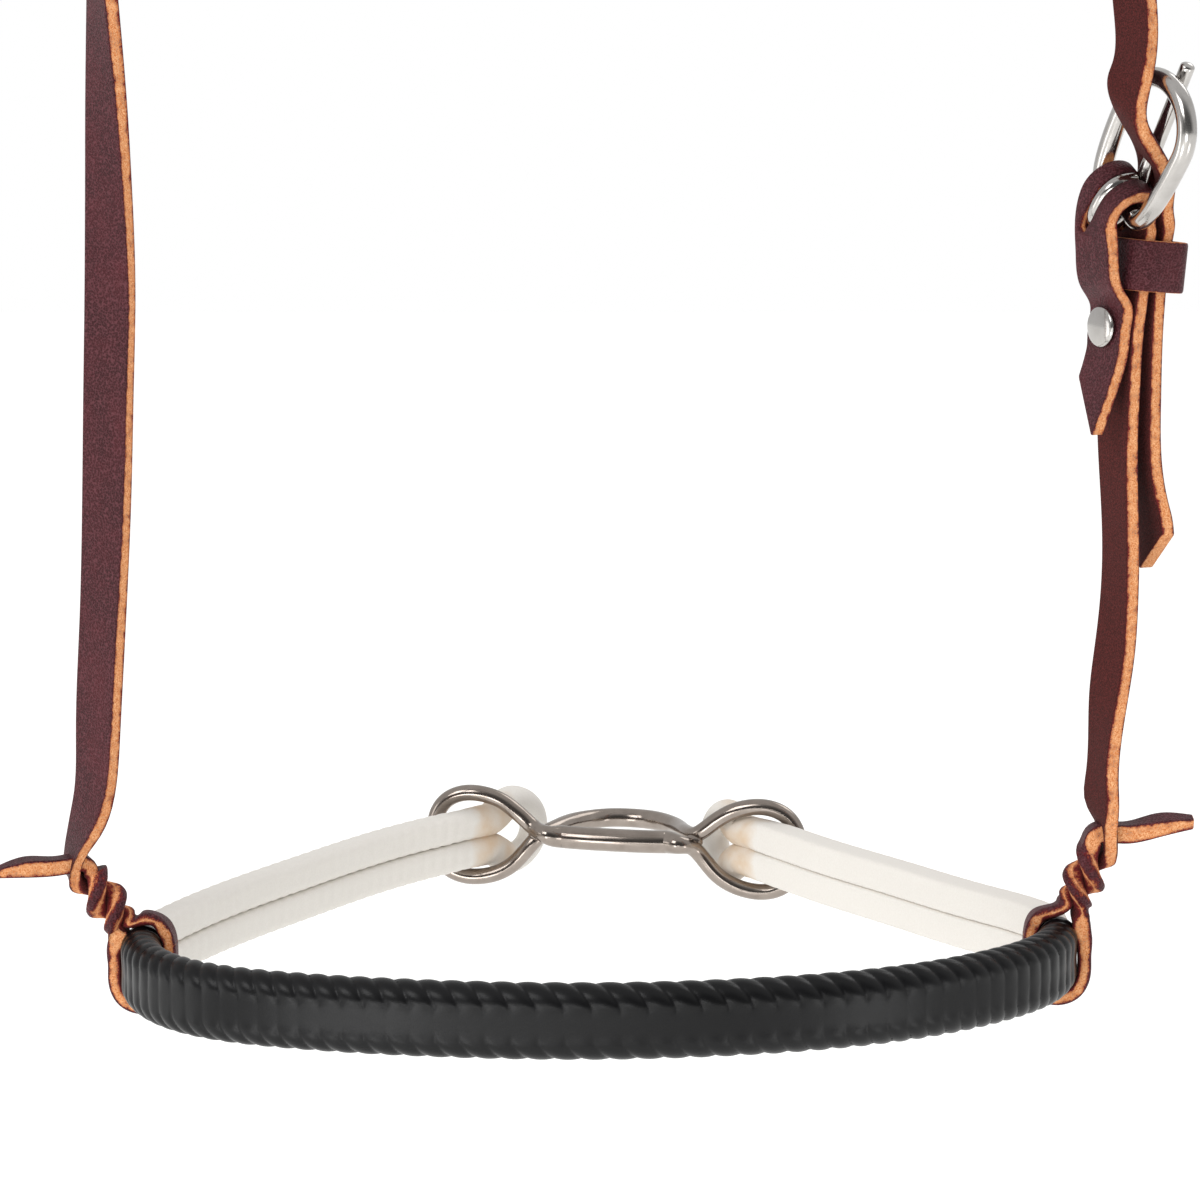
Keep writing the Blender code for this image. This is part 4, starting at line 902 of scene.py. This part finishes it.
through = []
for i, spot in enumerate(throughBuckle):
    ahead = throughBuckle[min(i + 1, 4)] - throughBuckle[max(i - 1, 0)]
    facing = unit(buckleUp * ahead[2] - buckleOut * ahead[1])
    through.append((*inBuckle(spot), *facing, *buckleBar))
feet = [placeOf(cheek, arch["out"], -cheek["side"] * arch["back"], arch["foot"]) for cheek in (left, right)]
crownRows = stationsOf(left, leftRows) + archStations(*feet) + stationsOf(right, crownRight)
fineFrom = len(crownRows) - 2
crown, crownTail = makeStrap("crownStrap", left, leftKnot, crownRows + through + besideHanger(tailGaps, 1),
                             fineFrom, (0, endSlant["crown"]))
tongueRise = buckle["wire"] / 2 + buckle["tongue"] / 2 + 0.3
cutBy(crown, stadiumBlock("hole", buckle["hole"], (0, buckle["holeAt"], tongueRise)))
for piece in (crown, crownTail):
    placedMesh(piece, "headstall", "latigo", "crown_strap")
hangerAbove = stationsOf(right, hangerRows) + foldStations() + besideHanger(lapGaps, -1)
hanger, hangerTail = makeStrap("hangerStrap", right, rightKnot, hangerAbove, len(hangerRows) - 2,
                               (0, endSlant["hanger"]))
cutBy(hanger, stadiumBlock("slot", (buckle["slotWidth"], *buckle["slot"]), (0, buckle["slotAt"], 0)))
for piece in (hanger, hangerTail):
    placedMesh(piece, "headstall", "latigo", "hanger_strap")

print("stage 8: keeper and rivet")
keeper = {"height": 12, "wall": 2, "level": 168.4, "clear": 0.75, "slack": 3.9,
          "rounding": (2.6, 4.6)}


def makeKeeper():
    # a rounded rectangle round both layers; the wall's section is a rectangle with eased rims
    out, back, high, face = hangerAt(keeper["level"])
    centre = placeOf(right, out, back, high)
    along = unit(centre - placeOf(right, *hangerAt(keeper["level"] - 5)[:3]))
    facing = facingOf(right, face)[0]
    across = unit(np.cross(along, facing))
    facing = unit(np.cross(across, along))
    inner = -strap["thickness"] / 2 - keeper["clear"]
    outer = 1.5 * strap["thickness"] + keeper["slack"] + keeper["clear"]
    half = strap["width"] / 2 + keeper["clear"]
    # section: how far through the wall, how far along the height, side mark
    section = [(0, -0.44, -1), (0, 0, -1), (0, 0.44, -1), (0.1, 0.49, -0.4), (0.3, 0.5, 0), (0.7, 0.5, 0),
               (0.9, 0.49, 0.4), (1, 0.44, 1), (1, 0, 1), (1, -0.44, 1), (0.9, -0.49, 0.4), (0.7, -0.5, 0),
               (0.3, -0.5, 0), (0.1, -0.49, -0.4)]
    turns = np.linspace(0, 90, 8)
    rings, marks = [], []
    for share, end, mark in section:
        grow, rounding = keeper["wall"] * share, np.interp(share, (0, 1), keeper["rounding"])
        ring = []
        for sx, sy, start in fourCorners:
            turn = np.radians(start + turns)
            x = sx * (half + grow - rounding) + rounding * np.cos(turn)
            y = (outer + grow - rounding if sy > 0 else inner - grow + rounding) + rounding * np.sin(turn)
            ring.append(x[:, None] * across + y[:, None] * facing)
        rings.append(centre + np.concatenate(ring) + along * end * keeper["height"])
        marks.append(np.full(32, float(mark)))
    marks = {"side": np.array(marks)}
    obj = putMesh("keeperBand", np.array(rings) * mm, latigoLeather, marks, loopRows=True)
    return placedMesh(obj, "keeper", "latigo", "keeper")


makeKeeper()
rivet = {"cap": 4.85, "capHigh": 1.5, "stem": 1.6, "head": 3.0, "level": 153.7, "gap": 0.3}


def revolved(name, outline, origin, axes, material):
    # profile (radius, height) turned about the third axis
    outline = np.array(outline, float)
    turn = circle(40)
    flat = np.cos(turn)[:, None] * axes[0] + np.sin(turn)[:, None] * axes[1]
    grid = origin + outline[:, None, :1] * flat + outline[:, None, 1:] * axes[2]
    return putMesh(name, grid * mm, material)


def makeRivet():
    # a domed cap in front and a post with a flatter head behind; dome = (r cos t, h sin t)
    out, back, high, face = hangerAt(rivet["level"])
    facing, across = facingOf(right, face)
    axes = (across, np.cross(facing, across), facing)
    origin = placeOf(right, out, back, high)
    start = -1.5 * strap["thickness"] - 3 * rivet["gap"]
    turn = np.radians(np.linspace(0, 88, 14))
    dome = [(rivet["cap"] * np.cos(t), start - 0.4 - (rivet["capHigh"] - 0.4) * np.sin(t)) for t in turn]
    cap = [(0.05, start), (rivet["cap"] - 0.3, start), (rivet["cap"], start - 0.15)] + dome
    placedMesh(revolved("rivetCap", cap, origin, axes, nickelPlate), "headstall", "nickel", "rivet_cap")
    outer = strap["thickness"] / 2 + rivet["gap"]
    turn = np.radians(np.linspace(0, 88, 10))
    head = [(rivet["head"] * np.cos(t) + 0.05, outer + 0.1 + 0.6 * np.sin(t)) for t in turn]
    post = [(0.05, start + 0.3), (rivet["stem"], start + 0.3), (rivet["stem"], outer),
            (rivet["head"], outer)] + head
    placedMesh(revolved("rivetPost", post, origin, axes, nickelPlate), "headstall", "nickel", "rivet_post")


makeRivet()

print("stage 9: buckle")


def makeBuckle():
    # bowed sides from the bar to the widest place, then half an ellipse over the top
    turn = np.radians(np.linspace(0, 90, 16))
    lower = np.stack([buckle["bar"] + (buckle["halfWidth"] - buckle["bar"]) * np.sin(turn),
                      buckle["widest"] * (1 - np.cos(turn))], 1)
    upper = np.stack([buckle["halfWidth"] * np.cos(turn[1:]),
                      buckle["widest"] + (buckle["length"] - buckle["widest"]) * np.sin(turn[1:])], 1)
    half = np.concatenate([lower, upper])
    outline = np.concatenate([half, (half * (-1, 1))[-2::-1]])
    bar = np.stack([np.linspace(-buckle["bar"], buckle["bar"], 12)[1:-1], np.zeros(10)], 1)
    outline = np.concatenate([outline, bar])
    path = inBuckle(np.concatenate([outline, np.zeros((len(outline), 1))], 1))
    body = roundTube("buckleFrame", path * mm, buckle["wire"] / 2 * mm, nickelPlate, closed=True)
    placedMesh(body, "buckle", "nickel", "buckle_frame")
    # the tongue: a spline through places up the frame and out of it, round the bar and flush with the
    # leather in front, then up to rest on the frame
    tip = buckle["length"] + buckle["wire"] / 2 + buckle["past"]
    spots = [(5.9, 1.2), (5.4, -2.4), (3.4, -4.7), (0, -5.75), (-3.4, -5.7), (-6.0, -4.5), (-7.3, -1.5),
             (-6.2, 2.0), (-3.2, 4.0), (1.5, tongueRise), (8, tongueRise), (20, tongueRise),
             (tip, tongueRise)]
    knots = np.array([(buckle["lean"] * max(y, 0) / tip if z > 4 else 0, y, z) for y, z in spots])
    run = runOf(knots)
    line = splineRead(run, knots, np.linspace(0, run[-1], 90))
    tongue = roundTube("buckleTongue", inBuckle(line) * mm, buckle["tongue"] / 2 * mm, nickelPlate)
    placedMesh(tongue, "tongue", "nickel", "buckle_tongue")


makeBuckle()

print("stage 10: floor, light and camera")
# places in metres; the lamps are rectangles: place, aim, size, watts
studio = {"floor": -0.80, "floorColour": "#f4f4f2", "glow": 0.4, "world": 0.76, "dark": 0.12,
          "darkSide": (0, -0.98, -0.2), "lens": 108, "sensor": 36, "camera": (0, -0.852, -0.244),
          "tilt": 9.2}
lamps = {"keySoftbox": ((-1.2, -1.5, 0.9), (0, 0, -0.4), (1.0, 1.0), 15),
         "frontSoftbox": ((-0.1, -1.3, -0.52), (0, -0.05, -0.47), (0.5, 0.22), 1.6),
         "rim": ((1.2, 1.2, 1.2), (0, 0, -0.35), (1.0, 1.0), 6),
         "lowLeft": ((-0.353, -0.65, -0.663), (-0.05, -0.05, -0.47), (0.2, 0.2), 0.66),
         "lowRight": ((0.547, -0.505, -0.663), (0.07, -0.03, -0.47), (0.2, 0.2), 0.4),
         "sideLeft": ((-0.95, -0.2, -0.45), (-0.1, 0, -0.47), (0.3, 0.5), 0.8)}


def makeStudio():
    # a pale floor that the camera and mirrors see a little brighter, and a plain room
    grid = np.array([[(-6, -6, studio["floor"]), (6, -6, studio["floor"])],
                     [(-6, 6, studio["floor"]), (6, 6, studio["floor"])]], float)
    mesh = bpy.data.meshes.new("floor")
    mesh.from_pydata(grid.reshape(-1, 3).tolist(), [], [(0, 1, 3, 2)])
    finish = bpy.data.materials.new("pale paper floor")
    finish.use_nodes = True
    add = nodeAdder(finish.node_tree)
    diffuse = add("BsdfDiffuse", Color=studio["floorColour"])
    bright = add("Emission", Color=(1, 1, 1, 1), Strength=studio["glow"])
    both = add("AddShader", n0=diffuse, n1=bright)
    rays = add("LightPath")
    seen = add("Math", {"operation": "MAXIMUM"}, n0=(rays, "Is Camera Ray"), n1=(rays, "Is Glossy Ray"))
    mixed = add("MixShader", Fac=seen, n1=diffuse, n2=both)
    setInputs(finish.node_tree.nodes["Material Output"], Surface=mixed)
    mesh.materials.append(finish)
    newObject("floor", mesh)
    world = bpy.context.scene.world or bpy.data.worlds.new("studio")
    bpy.context.scene.world = world
    world.use_nodes = True
    world.node_tree.nodes.clear()
    add = nodeAdder(world.node_tree)
    rays = add("LightPath")
    seen = add("Math", {"operation": "MAXIMUM"}, n0=(rays, "Is Camera Ray"), n1=(rays, "Is Transmission Ray"))
    # the room is dark in front of the object and bright over and behind it
    where = (add("TexCoord"), "Generated")
    ahead = add("VectorMath", {"operation": "DOT_PRODUCT"}, n0=where, n1=studio["darkSide"])
    room = add("MapRange", {"interpolation_type": "SMOOTHSTEP"}, Value=ahead,
               From_Min=0.15, From_Max=0.8, To_Min=studio["world"], To_Max=studio["dark"])
    plain = add("Mix", Factor=(rays, "Is Glossy Ray"), n2=studio["world"], n3=room)
    level = add("Mix", Factor=seen, n2=plain, n3=1.0)
    sky = add("Background", Color=(1, 1, 1, 1), Strength=level)
    add("OutputWorld", Surface=sky)


def addLamp(name, place, aim, size, watts):
    # a rectangle of light that looks from its place to its aim
    lamp = bpy.data.lights.new(name, "AREA")
    lamp.shape, lamp.size, lamp.size_y, lamp.energy = "RECTANGLE", size[0], size[1], watts
    obj = newObject(name, lamp)
    obj.location = place
    ray = np.array(aim, float) - np.array(place, float)
    obj.rotation_euler = Vector(ray).to_track_quat("-Z", "Y").to_euler()
    obj.visible_camera = False


makeStudio()
for name, settings in lamps.items():
    addLamp(name, *settings)
camera = bpy.data.cameras.new("camera")
camera.lens, camera.sensor_width = studio["lens"], studio["sensor"]
cameraObject = newObject("camera", camera)
cameraObject.location = studio["camera"]
cameraObject.rotation_euler = (np.radians(90 - studio["tilt"]), 0, 0)
bpy.context.scene.camera = cameraObject
bpy.context.scene.view_settings.view_transform = "Standard"
